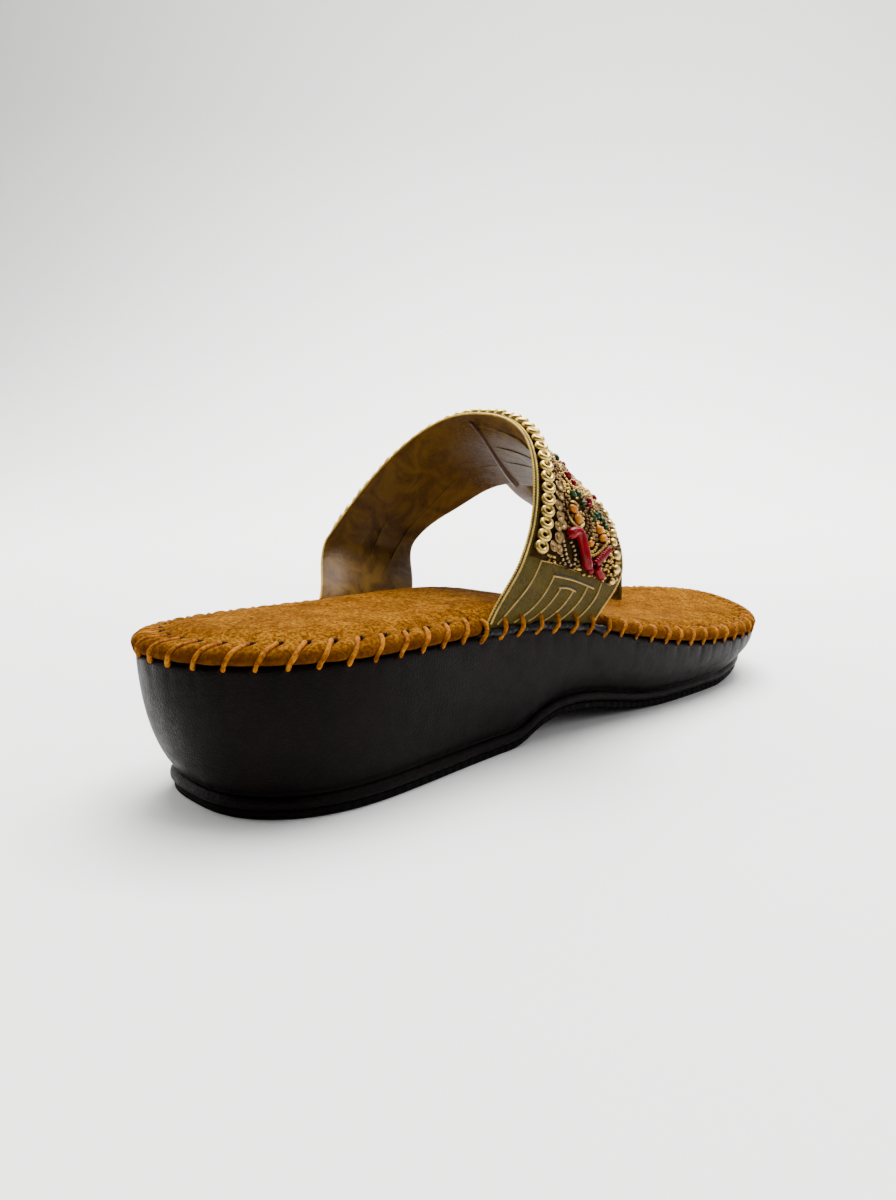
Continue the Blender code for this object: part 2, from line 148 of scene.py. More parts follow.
# across, rear, front
EDGES = (
    (-1.00, 0.262, 0.415),
    (-0.90, 0.295, 0.437),
    (-0.72, 0.350, 0.469),
    (-0.52, 0.391, 0.510),
    (-0.30, 0.416, 0.534),
    (0.00, 0.428, 0.546),
    (0.46, 0.408, 0.543),
    (0.67, 0.388, 0.535),
    (0.86, 0.357, 0.514),
    (1.00, 0.310, 0.486),
)
# along, height, across, width
THONG = (
    (0.562, 0.666, -0.235, 0.70),
    (0.585, 0.622, -0.250, 0.42),
    (0.625, 0.560, -0.265, 0.20),
    (0.675, 0.490, -0.280, 0.08),
    (0.720, 0.430, -0.290, 0.00),
    (0.748, 0.379, -0.298, 0.00),
    (0.769, 0.330, -0.300, 0.00),
    (0.780, 0.269, -0.300, 0.00),
    (0.784, 0.198, -0.300, 0.00),
    (0.785, 0.120, -0.300, 0.00),
    (0.785, 0.000, -0.300, 0.00),
)

# The whip stitches
STITCH_PITCH = 0.0074
STITCH_PHASE = 0.0  # where the first stitch stands, as a share of the pitch from the heel's tip
STITCH_SLANT = 0.80  # how far the upper hole is ahead of the lower one, as a share of the pitch
HEEL_SLANT = 0.52  # the same at the heel's tip
SLANT_EASE = 0.050  # length of edge over which it changes
STITCH_RADIUS = 0.00062
FOLD_RADIUS = 0.0011
LOWER_HOLE = 0.0004  # below the wall's top
ROLL_BULGE = 0.00035  # roll between two stitches, beyond the solid's
ROLL_PINCH = 0.00075  # roll under a stitch, inside the solid's
COLUMNS_PER_STITCH = 12
ROLL_RINGS = 30
CAP_COLUMNS = 40
PUCKER_DEPTH = 0.00032  # in the sole's wall, under each stitch
PUCKER_LENGTH = 0.0070
RIM_RINGS = 6
WALL_RINGS = 34
LIP_RINGS = 12

# The camera, fitted to the photograph in the frame of the part's source
CAMERA_PLACE = (0.20032, -0.09543, 0.08845)
CAMERA_YAW = 46.06
CAMERA_PITCH = 9.70
CAMERA_ROLL = -0.22
FOCAL_PIXELS = 917.0
PHOTO_HEIGHT = 1200
SENSOR = 36.0


def spline(knots, values):
    """A natural cubic spline through the knots, held level outside them."""
    knots, values = np.asarray(knots, float), np.asarray(values, float)
    count = len(knots)
    step = np.diff(knots)
    slope = np.diff(values) / step
    system = np.eye(count)
    right = np.zeros(count)
    for i in range(1, count - 1):
        system[i, i - 1 : i + 2] = step[i - 1], 2 * (step[i - 1] + step[i]), step[i]
        right[i] = 6 * (slope[i] - slope[i - 1])
    bend = np.linalg.solve(system, right)

    def value(at):
        at = np.clip(at, knots[0], knots[-1])
        i = np.clip(np.searchsorted(knots, at) - 1, 0, count - 2)
        left, rest = at - knots[i], knots[i + 1] - at
        return (
            (bend[i] * rest**3 + bend[i + 1] * left**3) / (6 * step[i])
            + (values[i] / step[i] - bend[i] * step[i] / 6) * rest
            + (values[i + 1] / step[i] - bend[i + 1] * step[i] / 6) * left
        )

    return value


def turn_of(along):
    """0 at the heel's tip and pi at the toe's."""
    return np.arccos(1 - 2 * np.clip(along, 0, 1))


def carried_past(turns, values):
    """The same table mirrored past both tips, so that what is read from it runs level across them."""
    turns = np.concatenate([-turns[:0:-1], turns, 2 * np.pi - turns[-2::-1]])
    return turns, np.concatenate([values[:0:-1], values, values[-2::-1]])


ALONG, MEDIAL, LATERAL, TOP, SCOOP, LEAN, RISE = np.array(SECTIONS).T
medial_share = spline(turn_of(ALONG), MEDIAL)
lateral_share = spline(turn_of(ALONG), LATERAL)
top_share = spline(ALONG, TOP)
lean_share = spline(*carried_past(turn_of(ALONG), LEAN))
rise_share = spline(ALONG, RISE)
arch_share = spline(*zip(*ARCH))
last_along, last_crest, last_centre, last_lateral, last_medial = np.array(LAST).T
crest_share = spline(last_along, last_crest)
centre_share = spline(last_along, last_centre)
lateral_swell = spline(last_along, last_lateral)
medial_swell = spline(last_along, last_medial)
rear_edge = spline(*np.array(EDGES).T[:2])
front_edge = spline(*np.array(EDGES).T[[0, 2]])


def flare_at(along):
    return FLARE * lean_share(turn_of(along))


def underside_at(along):
    inside = (along > ARCH[0][0]) & (along < ARCH[-1][0])
    arch = np.where(inside, np.clip(arch_share(along), 0, None), 0)
    return TOE_LIFT * np.interp(along, ALONG, SCOOP) + ARCH_LIFT * arch


def top_at(x, along):
    inner_side = 0.5 - 0.5 * np.tanh(x / SIDE_BLEND)
    return HEEL_HEIGHT * top_share(along) + MEDIAL_RISE * rise_share(along) * inner_side


def side_at(y, side):
    turn = turn_of(y / LENGTH)
    return np.where(side > 0, LATERAL_BALL * lateral_share(turn), -MEDIAL_BALL * medial_share(turn))


def last_point(across, y):
    """Points of the foot's form under the strap, for arrays of places across and stations."""
    along = y / LENGTH
    side = np.where(across > 0, 1.0, -1.0)
    centre = LATERAL_BALL * centre_share(along)
    crest = INSTEP_HEIGHT * crest_share(along)
    edge = side_at(y, side)
    base = top_at(edge, along) + GAP + SLOT_GAP / 2
    swell = np.where(side > 0, lateral_swell(along), medial_swell(along))
    wide = edge + side * LATERAL_BALL * swell
    angle = across * np.pi / 2
    squareness = np.where(side > 0, LATERAL_SQUARENESS, MEDIAL_SQUARENESS)
    out = np.abs(np.sin(angle)) ** (2 / squareness)
    up = np.clip(np.abs(np.cos(angle)), 1e-9, 1) ** (2 / squareness)
    z = base + (crest - base) * up
    x = centre + (wide - centre) * out
    foot = edge - side * (STRAP_SETBACK + STRAP_WALL)
    turned_in = np.clip(1 - ((z - base) / FOOT_BLEND) ** 2, 0, None) ** 2
    return np.stack([x + (foot - wide) * turned_in, y + 0 * x, z], -1)


def strap_point(across, down):
    """Points of the strap's lining: down is 0 at the rear edge and 1 at the front edge."""
    across, down = np.broadcast_arrays(np.asarray(across, float), np.asarray(down, float))
    rear, front = LENGTH * rear_edge(across), LENGTH * front_edge(across)
    return last_point(across, rear + (front - rear) * down)


def strap_width(across):
    """Way straight from the strap's rear edge to its front edge, at places across."""
    return np.linalg.norm(strap_point(across, 1.0) - strap_point(across, 0.0), axis=-1)


def unit(vectors):
    return vectors / np.linalg.norm(vectors, axis=-1, keepdims=True)


def lengths_along(path):
    """Length of the way along a path up to each of its points."""
    return np.concatenate([[0], np.cumsum(np.linalg.norm(np.diff(path, axis=0), axis=1))])


def strap_frame(across, down, lift=0.0):
    """Points this far outside the lining, with the directions across, down and out."""
    across, down = np.broadcast_arrays(np.asarray(across, float), np.asarray(down, float))
    step = 0.004
    low, high = np.clip(across - step, -1, 1), np.clip(across + step, -1, 1)
    over = unit(strap_point(high, down) - strap_point(low, down))
    fore = unit(strap_point(across, down + step) - strap_point(across, down - step))
    out = unit(np.cross(over, fore))
    fore = unit(np.cross(out, over))
    return strap_point(across, down) + np.asarray(lift)[..., None] * out, over, fore, out


EDGE_STEPS = 1500  # points up each side of the sole's edge
TANGENT_REACH = 3  # points each way over which its direction is taken


class Edge:
    """The top edge of the sole's wall as a loop by its length: up the outer side, back down the inner."""

    def __init__(self):
        turn = np.linspace(0, np.pi, EDGE_STEPS)
        along = (1 - np.cos(turn)) / 2
        outer = np.stack([LATERAL_BALL * lateral_share(turn), LENGTH * along], 1)
        inner = np.stack([-MEDIAL_BALL * medial_share(turn), LENGTH * along], 1)
        outer[-1] = inner[-1] = (outer[-1] + inner[-1]) / 2
        loop = np.concatenate([outer, inner[-2::-1]])
        self.loop = loop
        self.length = lengths_along(loop)
        self.total = self.length[-1]
        tangent = unit(np.roll(loop[:-1], -TANGENT_REACH, 0) - np.roll(loop[:-1], TANGENT_REACH, 0))
        outward = np.stack([tangent[:, 1], -tangent[:, 0]], 1)
        self.outward = np.concatenate([outward, outward[:1]])

    def at(self, s):
        """Place and outward direction at lengths round the edge."""
        s = np.mod(s, self.total)
        place = np.stack([np.interp(s, self.length, self.loop[:, k]) for k in range(2)], -1)
        outward = np.stack([np.interp(s, self.length, self.outward[:, k]) for k in range(2)], -1)
        return place, unit(outward)

    def length_at(self, y, side):
        """Length round the edge to a station on one side."""
        half = len(self.loop) // 2
        part = slice(0, half + 1) if side > 0 else slice(half, None)
        ys, lengths = self.loop[part, 1], self.length[part]
        return np.interp(y, ys, lengths) if side > 0 else np.interp(y, ys[::-1], lengths[::-1])


edge = Edge()
STITCHES = int(round(edge.total / STITCH_PITCH))
PITCH = edge.total / STITCHES
sole_low, sole_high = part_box("sole")
widest = LATERAL_BALL * lateral_share(np.linspace(0, np.pi, 400)).max()
SHIFT = np.array([sole_high.x - widest, sole_low.y, 0.0])


def foot_stretch(side):
    """Where a foot of the strap starts and ends, by length round the sole's edge."""
    across = side * np.linspace(PANEL_REACH, 1, 30)
    base = last_point(np.full(len(across), float(side)), strap_point(across, 0)[:, 1])[:, 2]
    ys = []
    for down in (0, 1):
        points = strap_point(across, down)
        ys += list(points[points[:, 2] < base + ROLL_HEIGHT, 1])
    ends = sorted(edge.length_at(y, side) for y in (min(ys), max(ys)))
    return ends[0] - SLOT_GAP, ends[1] + SLOT_GAP


FEET = [foot_stretch(1), foot_stretch(-1)]
NOTCH_DEPTH = STRAP_SETBACK + STRAP_WALL + SLOT_GAP
NOTCH_EASE = 0.0022


def smooth(value):
    value = np.clip(value, 0, 1)
    return value * value * (3 - 2 * value)


def in_foot(s):
    """1 beside a foot of the strap, 0 elsewhere, eased at both ends."""
    found = np.zeros(np.shape(s))
    for start, end in FEET:
        found = np.maximum(found, smooth((s - start) / NOTCH_EASE + 1) * smooth((end - s) / NOTCH_EASE + 1))
    return found


def mesh_object(name, points, faces, materials, face_materials=None, attributes=()):
    """A smooth mesh object of quads or triangles, in the row's frame."""
    mesh = bpy.data.meshes.new(name)
    points = np.asarray(points, float).reshape(-1, 3) + SHIFT
    mesh.from_pydata(points.tolist(), [], faces.tolist() if isinstance(faces, np.ndarray) else faces)
    mesh.update()
    for made in materials:
        mesh.materials.append(made)
    if face_materials is not None:
        mesh.polygons.foreach_set("material_index", np.asarray(face_materials, np.int32))
    for label, values in attributes:
        layer = mesh.attributes.new(label, "FLOAT", "POINT")
        layer.data.foreach_set("value", np.asarray(values, np.float32).ravel())
    mesh.shade_smooth()
    made = bpy.data.objects.new(name, mesh)
    bpy.context.scene.collection.objects.link(made)
    return made


def grid_faces(rows, columns, close_columns=False, close_rows=False, start=0):
    """Quads of a grid of points, row by row."""
    last_row, last_column = rows if close_rows else rows - 1, columns if close_columns else columns - 1
    i, j = np.meshgrid(np.arange(last_row), np.arange(last_column), indexing="ij")
    right, below = (j + 1) % columns, (i + 1) % rows
    quads = np.stack([i * columns + j, i * columns + right, below * columns + right, below * columns + j], -1)
    return quads.reshape(-1, 4) + start


def tube(path, radius, sides=8):
    """Points and quads of a tube along a path; radius may be one number or one a point."""
    path = np.asarray(path, float)
    count = len(path)
    radius = np.broadcast_to(radius, (count,))
    tangent = unit(np.gradient(path, axis=0))
    up = np.array([0.0, 0.0, 1.0]) if abs(tangent[0, 2]) < 0.9 else np.array([1.0, 0.0, 0.0])
    normal = unit(np.cross(tangent[0], up))
    turns = np.linspace(0, 2 * np.pi, sides, endpoint=False)[:, None]
    rings = []
    for k in range(count):
        normal = unit(normal - tangent[k] * (normal @ tangent[k]))
        binormal = np.cross(tangent[k], normal)
        rings.append(path[k] + radius[k] * (np.cos(turns) * normal + np.sin(turns) * binormal))
    return np.concatenate(rings), grid_faces(count, sides, close_columns=True)


class Joined:
    """Gathers many small bits into one mesh."""

    def __init__(self):
        self.points, self.faces, self.count = [], [], 0

    def add(self, points, faces):
        self.points.append(points)
        self.faces.append(np.asarray(faces) + self.count)
        self.count += len(points)

    def place(self, shape, at, over, fore, out, scale=1.0):
        """Adds a shape whose X, Y and Z lie along the given directions."""
        points, faces = shape
        turned = points[:, :1] * over + points[:, 1:2] * fore + points[:, 2:3] * out
        self.add(np.asarray(at) + turned * scale, faces)

    def build(self, name, materials):
        return mesh_object(name, np.concatenate(self.points), np.concatenate(self.faces), materials)


def lathe(profile, sides):
    """Points and quads of a profile of (radius, height) turned about Z."""
    turns = np.linspace(0, 2 * np.pi, sides, endpoint=False)
    rings = [np.stack([r * np.cos(turns), r * np.sin(turns), np.full(sides, z)], 1) for r, z in profile]
    return np.concatenate(rings), grid_faces(len(profile), sides, close_columns=True)


def ring_shape(outer, hole, height, sides=22, around=8):
    """A rounded ring that lies flat, with its middle at the origin."""
    centre, half = (outer + hole) / 4, (outer - hole) / 4
    turns = np.linspace(0, 2 * np.pi, around, endpoint=False)
    profile = [(centre + half * np.cos(t), height / 2 * np.sin(t)) for t in turns]
    points, _ = lathe(profile, sides)
    return points, grid_faces(around, sides, close_columns=True, close_rows=True)


def bead_shape(width, height, sides=10, around=7):
    """A round bead on its side, slightly flattened."""
    turns = np.linspace(-np.pi / 2, np.pi / 2, around)
    return lathe([(max(width / 2 * np.cos(t), 1e-6), height / 2 * np.sin(t)) for t in turns], sides)


def disc_shape(width, hole, thickness, cup=0.0, sides=18):
    """A sequin: a thin cupped disc with a hole."""
    r, h, t = width / 2, hole / 2, thickness
    middle = ((h + r) / 2, t + cup * 0.35)
    profile = [(h, 0), (h, t), middle, (r - t / 2, t + cup), (r, t / 2 + cup), (r - t / 2, cup)]
    points, _ = lathe(profile, sides)
    return points, grid_faces(len(profile), sides, close_columns=True, close_rows=True)[:, ::-1]


class Finish:
    """A material and short ways to build its nodes. Sizes of texture are in metres.

    Further values are the shader's own sockets by name, with _ for each space.
    """

    def __init__(self, name, roughness=0.5, metallic=0.0, **sockets):
        self.material = bpy.data.materials.new(name)
        self.material.use_nodes = True
        self.nodes = self.material.node_tree.nodes
        self.links = self.material.node_tree.links
        self.shader = self.nodes["Principled BSDF"]
        self.shader.inputs["Roughness"].default_value = roughness
        self.shader.inputs["Metallic"].default_value = metallic
        for label, value in sockets.items():
            self.shader.inputs[label.replace("_", " ")].default_value = value
        self.where = self.nodes.new("ShaderNodeTexCoord").outputs["Object"]
        self.height = None

    def link(self, source, target):
        self.links.new(source, target)

    def stretch(self, scale):
        """Coordinates scaled by three numbers."""
        mapping = self.nodes.new("ShaderNodeMapping")
        mapping.inputs["Scale"].default_value = scale
        self.link(self.where, mapping.inputs["Vector"])
        return mapping.outputs["Vector"]

    def noise(self, size, detail=4.0, roughness=0.55, distortion=0.0, vector=None):
        node = self.nodes.new("ShaderNodeTexNoise")
        node.inputs["Scale"].default_value = 1 / size
        node.inputs["Detail"].default_value = detail
        node.inputs["Roughness"].default_value = roughness
        node.inputs["Distortion"].default_value = distortion
        self.link(vector or self.where, node.inputs["Vector"])
        return node.outputs["Fac"]

    def cells(self, size):
        node = self.nodes.new("ShaderNodeTexVoronoi")
        node.feature = "DISTANCE_TO_EDGE"
        node.inputs["Scale"].default_value = 1 / size
        self.link(self.where, node.inputs["Vector"])
        return node.outputs["Distance"]

    def waves(self, size, direction):
        node = self.nodes.new("ShaderNodeTexWave")
        node.bands_direction = direction
        node.inputs["Scale"].default_value = 0.314 / size  # at a scale of 1 a wave is 0.314 long
        self.link(self.where, node.inputs["Vector"])
        return node.outputs["Fac"]

    def attribute(self, label):
        node = self.nodes.new("ShaderNodeAttribute")
        node.attribute_name = label
        return node.outputs["Fac"]

    def maths(self, operation, a, b):
        node = self.nodes.new("ShaderNodeMath")
        node.operation = operation
        for socket, value in zip(node.inputs, (a, b)):
            if isinstance(value, (int, float)):
                socket.default_value = value
            else:
                self.link(value, socket)
        return node.outputs[0]

    def spread(self, value, low, high, start=0.0, end=1.0):
        """The value's range low to high, mapped onto start to end."""
        node = self.nodes.new("ShaderNodeMapRange")
        for label, number in (("From Min", low), ("From Max", high), ("To Min", start), ("To Max", end)):
            node.inputs[label].default_value = number
        self.link(value, node.inputs["Value"])
        return node.outputs["Result"]

    def blend(self, share, a, b):
        """Colour a where share is 0, b where it is 1. A colour is three numbers or a socket."""
        node = self.nodes.new("ShaderNodeMix")
        node.data_type = "RGBA"
        self.link(share, node.inputs["Factor"])
        for label, colour in (("A", a), ("B", b)):
            socket = [s for s in node.inputs if s.name == label and s.type == "RGBA"][0]
            if isinstance(colour, tuple):
                socket.default_value = (*colour, 1)
            else:
                self.link(colour, socket)
        return [s for s in node.outputs if s.type == "RGBA"][0]

    def colour(self, source):
        if isinstance(source, tuple):
            self.shader.inputs["Base Color"].default_value = (*source, 1)
        else:
            self.link(source, self.shader.inputs["Base Color"])

    def rough(self, source):
        self.link(source, self.shader.inputs["Roughness"])

    def bump(self, height, depth):
        """Adds relief of this depth; several calls add up."""
        node = self.nodes.new("ShaderNodeBump")
        node.inputs["Distance"].default_value = depth
        node.inputs["Strength"].default_value = 1.0
        self.link(height, node.inputs["Height"])
        if self.height:
            self.link(self.height, node.inputs["Normal"])
        self.height = node.outputs["Normal"]
        self.link(self.height, self.shader.inputs["Normal"])


def two_tone(name, roughness, size, dark, light, **sockets):
    """A plain finish that drifts between two tones over this length."""
    made = Finish(name, roughness, **sockets)
    made.colour(made.blend(made.noise(size), dark, light))
    return made


def leatherette():
    """Dark brown-black coated leather with a fine grain and a soft gloss."""
    tint = (1.0, 0.86, 0.87, 1.0)
    made = Finish("black_leatherette", 0.42, Specular_IOR_Level=0.045, Specular_Tint=tint)
    tone = made.noise(0.012, detail=5)
    made.colour(made.blend(made.spread(tone, 0.35, 0.7), (0.0014, 0.0008, 0.0009), (0.0032, 0.0017, 0.0018)))
    made.rough(made.spread(made.noise(0.004, detail=6), 0.3, 0.7, 0.36, 0.52))
    made.bump(made.spread(made.cells(0.0009), 0.0, 0.25), 0.00005)
    made.bump(made.noise(0.0004, detail=3), 0.00004)
    made.bump(made.noise(0.006, detail=2), 0.00012)
    return made.material


def rubber():
    """Matt dark outsole."""
    dark, light = (0.0022, 0.0018, 0.0018), (0.0048, 0.0038, 0.0036)
    made = two_tone("outsole_rubber", 0.68, 0.003, dark, light, Specular_IOR_Level=0.03)
    made.bump(made.noise(0.0006), 0.00006)
    made.bump(made.waves(0.0032, "Y"), 0.00025)
    return made.material


def suede():
    """Tan suede: mottled nap, with painted shade on the lower, outer side of the rolled edge and in the stitch
    holes.
    """
    made = Finish("tan_suede", 0.97, Specular_IOR_Level=0.01)
    blotch = made.spread(made.noise(0.008, detail=6, roughness=0.65, distortion=0.6), 0.32, 0.68)
    nap = made.spread(made.noise(0.0010, detail=4, roughness=0.68), 0.41, 0.59)
    speck = made.spread(made.noise(0.0006, detail=2), 0.54, 0.74)
    dark = made.blend(blotch, (0.044, 0.0128, 0.0009), (0.094, 0.0310, 0.0016))
    light = made.blend(blotch, (0.108, 0.0370, 0.0024), (0.270, 0.1140, 0.0090))
    tan = made.blend(nap, dark, light)
    tan = made.blend(speck, tan, (0.040, 0.0112, 0.0008))
    # painted shade on the roll's lower, outer side, read from the edge layer
    tan = made.blend(made.attribute("edge"), tan, (0.056, 0.0150, 0.0014))
    # painted shade in the stitch holes, read from the hole layer
    tan = made.blend(made.attribute("hole"), tan, (0.018, 0.006, 0.002))
    made.colour(tan)
    made.bump(made.noise(0.0014, detail=5, roughness=0.7), 0.00016)
    made.bump(made.noise(0.00035, detail=3, roughness=0.7), 0.00010)
    return made.material


def waxed_cord():
    """Orange-tan waxed cord."""
    made = Finish("orange_cord", 0.65, Specular_IOR_Level=0.04)
    streak = made.spread(made.noise(0.0009, detail=4, roughness=0.65), 0.36, 0.64)
    slow = made.spread(made.noise(0.006, detail=3), 0.38, 0.62)
    dark = made.blend(slow, (0.084, 0.0180, 0.0008), (0.155, 0.0430, 0.0014))
    light = made.blend(slow, (0.225, 0.0720, 0.0022), (0.400, 0.1520, 0.0050))
    made.colour(made.blend(streak, dark, light))
    made.bump(made.noise(0.0005, detail=4), 0.00008)
    return made.material


def brocade():
    """Olive-gold cloth with a fine ribbed weave."""
    made = Finish("olive_brocade", 0.65, Specular_IOR_Level=0.03)
    weave = made.noise(0.0006, detail=2, vector=made.stretch((1.0, 3.0, 1.0)))
    slub = made.noise(0.006, detail=4)
    base = made.blend(made.spread(slub, 0.35, 0.7), (0.020, 0.0120, 0.0016), (0.042, 0.0290, 0.0040))
    made.colour(made.blend(made.spread(weave, 0.35, 0.7), base, (0.074, 0.052, 0.0090)))
    made.rough(made.spread(weave, 0.3, 0.7, 0.6, 0.36))
    made.bump(weave, 0.00012)
    return made.material


def lining():
    """Gold-brown satin, mottled and a little creased."""
    made = Finish("gold_brown_satin", 0.45, Specular_IOR_Level=0.12)
    blotch = made.spread(made.noise(0.010, detail=5, roughness=0.6, distortion=1.2), 0.42, 0.60)
    thread = made.noise(0.0007, detail=2, vector=made.stretch((0.6, 3.0, 0.6)))
    base = made.blend(blotch, (0.048, 0.0160, 0.0014), (0.150, 0.0740, 0.0075))
    red = made.blend(made.attribute("crest"), base, (0.030, 0.0085, 0.0012))
    made.colour(made.blend(made.spread(thread, 0.3, 0.8), red, (0.120, 0.062, 0.0090)))
    made.bump(thread, 0.00008)
    made.bump(made.noise(0.008, detail=3, distortion=0.8), 0.0004)
    return made.material


def gold(name, colour, roughness):
    """Pale gold metal with a little wear."""
    made = Finish(name, roughness, metallic=1.0)
    dull = tuple(c * 0.55 for c in colour)
    made.colour(made.blend(made.spread(made.noise(0.0025, detail=4), 0.3, 0.75), dull, colour))
    made.bump(made.noise(0.0008, detail=1), 0.00001)
    return made.material


def glass_bead(name, colour, roughness):
    """Opaque glass with slight changes of tone from bead to bead."""
    made = Finish(name, roughness, Coat_Weight=0.05, Coat_Roughness=0.1, Specular_IOR_Level=0.10)
    deep = tuple(c * 0.5 for c in colour)
    made.colour(made.blend(made.spread(made.noise(0.003, detail=3), 0.3, 0.7), deep, colour))
    return made.material


def ring_points(inset, height, place, outward):
    """Points this far inside the wall's top edge: inset and height are arrays round the edge."""
    spot = place - outward * np.reshape(inset, (-1, 1))
    if callable(height):
        height = height(spot[:, 0], spot[:, 1] / LENGTH)
    return np.column_stack([spot, np.broadcast_to(height, len(spot))])


def close_grid(points, ring_start, count, height, columns):
    """Points and faces that close a loop with a grid between its two sides."""
    half = count // 2
    outer = np.arange(1, half)
    inner = count - outer
    share = np.linspace(0, 1, columns + 1)[1:-1]
    ring = points[ring_start : ring_start + count]
    xy = ring[outer, None, :2] * (1 - share[None, :, None]) + ring[inner, None, :2] * share[None, :, None]
    z = height(xy[..., 0], xy[..., 1] / LENGTH)
    new = np.concatenate([xy, z[..., None]], -1)
    first = len(points)
    index = np.empty((half - 1, columns + 1), int)
    index[:, 0] = ring_start + outer
    index[:, -1] = ring_start + inner
    index[:, 1:-1] = first + np.arange(new[..., 0].size).reshape(new.shape[:2])
    quads = np.stack([index[:-1, :-1], index[:-1, 1:], index[1:, 1:], index[1:, :-1]], -1).reshape(-1, 4)
    ends = []
    for row, tip in ((index[0], ring_start), (index[-1], ring_start + half)):
        for k in range(columns):
            ends.append((tip, row[k + 1], row[k]) if tip == ring_start else (tip, row[k], row[k + 1]))
    return new.reshape(-1, 3), quads, ends


def loft(name, rings, upper, lower, columns, materials, attributes=()):
    """A closed form from loops, top to bottom, ended by grids on the surfaces upper and lower."""
    points = np.concatenate(rings)
    count = len(rings[0])
    faces = [tuple(f) for f in grid_faces(len(rings), count, close_columns=True)[:, ::-1].tolist()]
    for start, height, turn in ((0, upper, -1), (len(points) - count, lower, 1)):
        new, quads, ends = close_grid(points, start, count, height, columns)
        points = np.concatenate([points, new])
        faces += [tuple(f)[::turn] for f in quads.tolist()]
        faces += [f[::turn] for f in ends]
    return mesh_object(name, points, faces, materials, attributes=attributes)


def stitch_phase(s):
    """Signed distance round the edge to the nearest stitch's lower hole."""
    first = STITCH_PHASE * PITCH
    return (s - first + PITCH / 2) % PITCH - PITCH / 2


def stitch_number(s):
    return np.floor((s - STITCH_PHASE * PITCH + PITCH / 2) / PITCH).astype(int) % STITCHES


PUCKERS = RANDOM.uniform(0.6, 1.35, STITCHES)  # how strong each stitch pulls
VALLEY_WIDTH = 0.16  # of a pucker, as a share of the pitch
VALLEY_OFFSET = 0.35  # share of a pucker's depth by which the leather swells between two
PUCKER_FADE = 1.8  # how fast a pucker dies out over its length
HOLE_REACH = 0.0009
HOLE_DENT = 0.0011  # how far a stitch draws in the leather at its lower hole
WAVE_DEPTH = 0.00020  # slow waves in the leather at the toe
WAVE_PLACE, WAVE_REACH = 0.008, 0.006  # below the wall's top


def wall_relief(s, down, along):
    """Inward pull of the sole's wall under the stitches, and the slow waves of the leather."""
    near = stitch_phase(s) / PITCH
    pull = PUCKERS[stitch_number(s)]
    fore = 0.8 + 0.25 * smooth((along - 0.45) / 0.3)
    length = PUCKER_LENGTH * fore * pull
    valley = np.exp(-((near / VALLEY_WIDTH) ** 2))
    depth = PUCKER_DEPTH * fore * pull * np.exp(-np.clip(down, 0, None) / length * PUCKER_FADE)
    lower_hole = np.exp(-((near * PITCH / HOLE_REACH) ** 2) - ((down - LOWER_HOLE) / HOLE_REACH) ** 2)
    toe = smooth((along - 0.80) / 0.12)
    waves = WAVE_DEPTH * toe * np.sin(s / 0.0062 + 2 * np.sin(s / 0.017))
    waves = waves * np.exp(-(((down - WAVE_PLACE) / WAVE_REACH) ** 2))
    return depth * (valley - VALLEY_OFFSET) + HOLE_DENT * lower_hole + waves


SOLE_CAP_COLUMNS = 10
RELIEF_END = 0.15  # share of the wall's height over which its relief dies out above the lip
BRIDGE_START = 0.72  # share of the wall's height at which the leather starts to bridge the step
FOREFOOT_START, FOREFOOT_EASE = 0.52, 0.22  # along, where the step is bridged


def sole_under(_, along):
    return underside_at(along) + OUTSOLE_THICKNESS + GAP


def make_sole():
    """The wrapped sole: its rounded rim, the wall that leans in, and the rolled lip at the bottom."""
    count = STITCHES * COLUMNS_PER_STITCH
    s = np.arange(count) * edge.total / count
    place, outward = edge.at(s)
    along = place[:, 1] / LENGTH
    top = top_at(place[:, 0], along)
    flare = flare_at(along)
    bottom = ring_points(flare, sole_under, place, outward)[:, 2]
    wall_height = top - RIM_RADIUS - (bottom + LIP_HEIGHT)
    rings = []
    for turn in np.linspace(0, np.pi / 2, RIM_RINGS):
        inset, drop = RIM_RADIUS * (1 - np.sin(turn)), RIM_RADIUS * (1 - np.cos(turn))
        rings.append(ring_points(inset, lambda x, a: top_at(x, a) - drop, place, outward))
    lean_at = spline(*zip(*WALL))
    eased = LIP_EASE * smooth((along - FOREFOOT_START) / FOREFOOT_EASE)
    for down in np.linspace(0, 1, WALL_RINGS + 1)[1:]:
        height = top - RIM_RADIUS - wall_height * down
        relief = wall_relief(s, top - height, along) * smooth((1 - down) / RELIEF_END)
        relief = relief - LIP_OVERHANG * eased * smooth((down - BRIDGE_START) / (1 - BRIDGE_START))
        rings.append(ring_points((flare + LIP_OVERHANG) * lean_at(down) + relief, height, place, outward))
    knots = np.arange(len(LIP))
    inset_at, up_at = (spline(knots, column) for column in zip(*LIP))
    for knot in np.linspace(0, len(LIP) - 1, LIP_RINGS + 1)[1:]:
        inset = flare + LIP_OVERHANG * np.minimum(inset_at(knot), 1 - eased)
        rise = LIP_HEIGHT * up_at(knot)
        rings.append(ring_points(inset, lambda x, a: sole_under(x, a) + rise, place, outward))
    return loft("sole_wall", rings, top_at, sole_under, SOLE_CAP_COLUMNS, [leatherette()])


OUTSOLE_COLUMNS = 6  # for each stitch


def outsole_top(_, along):
    return underside_at(along) + OUTSOLE_THICKNESS


def outsole_under(_, along):
    return underside_at(along)


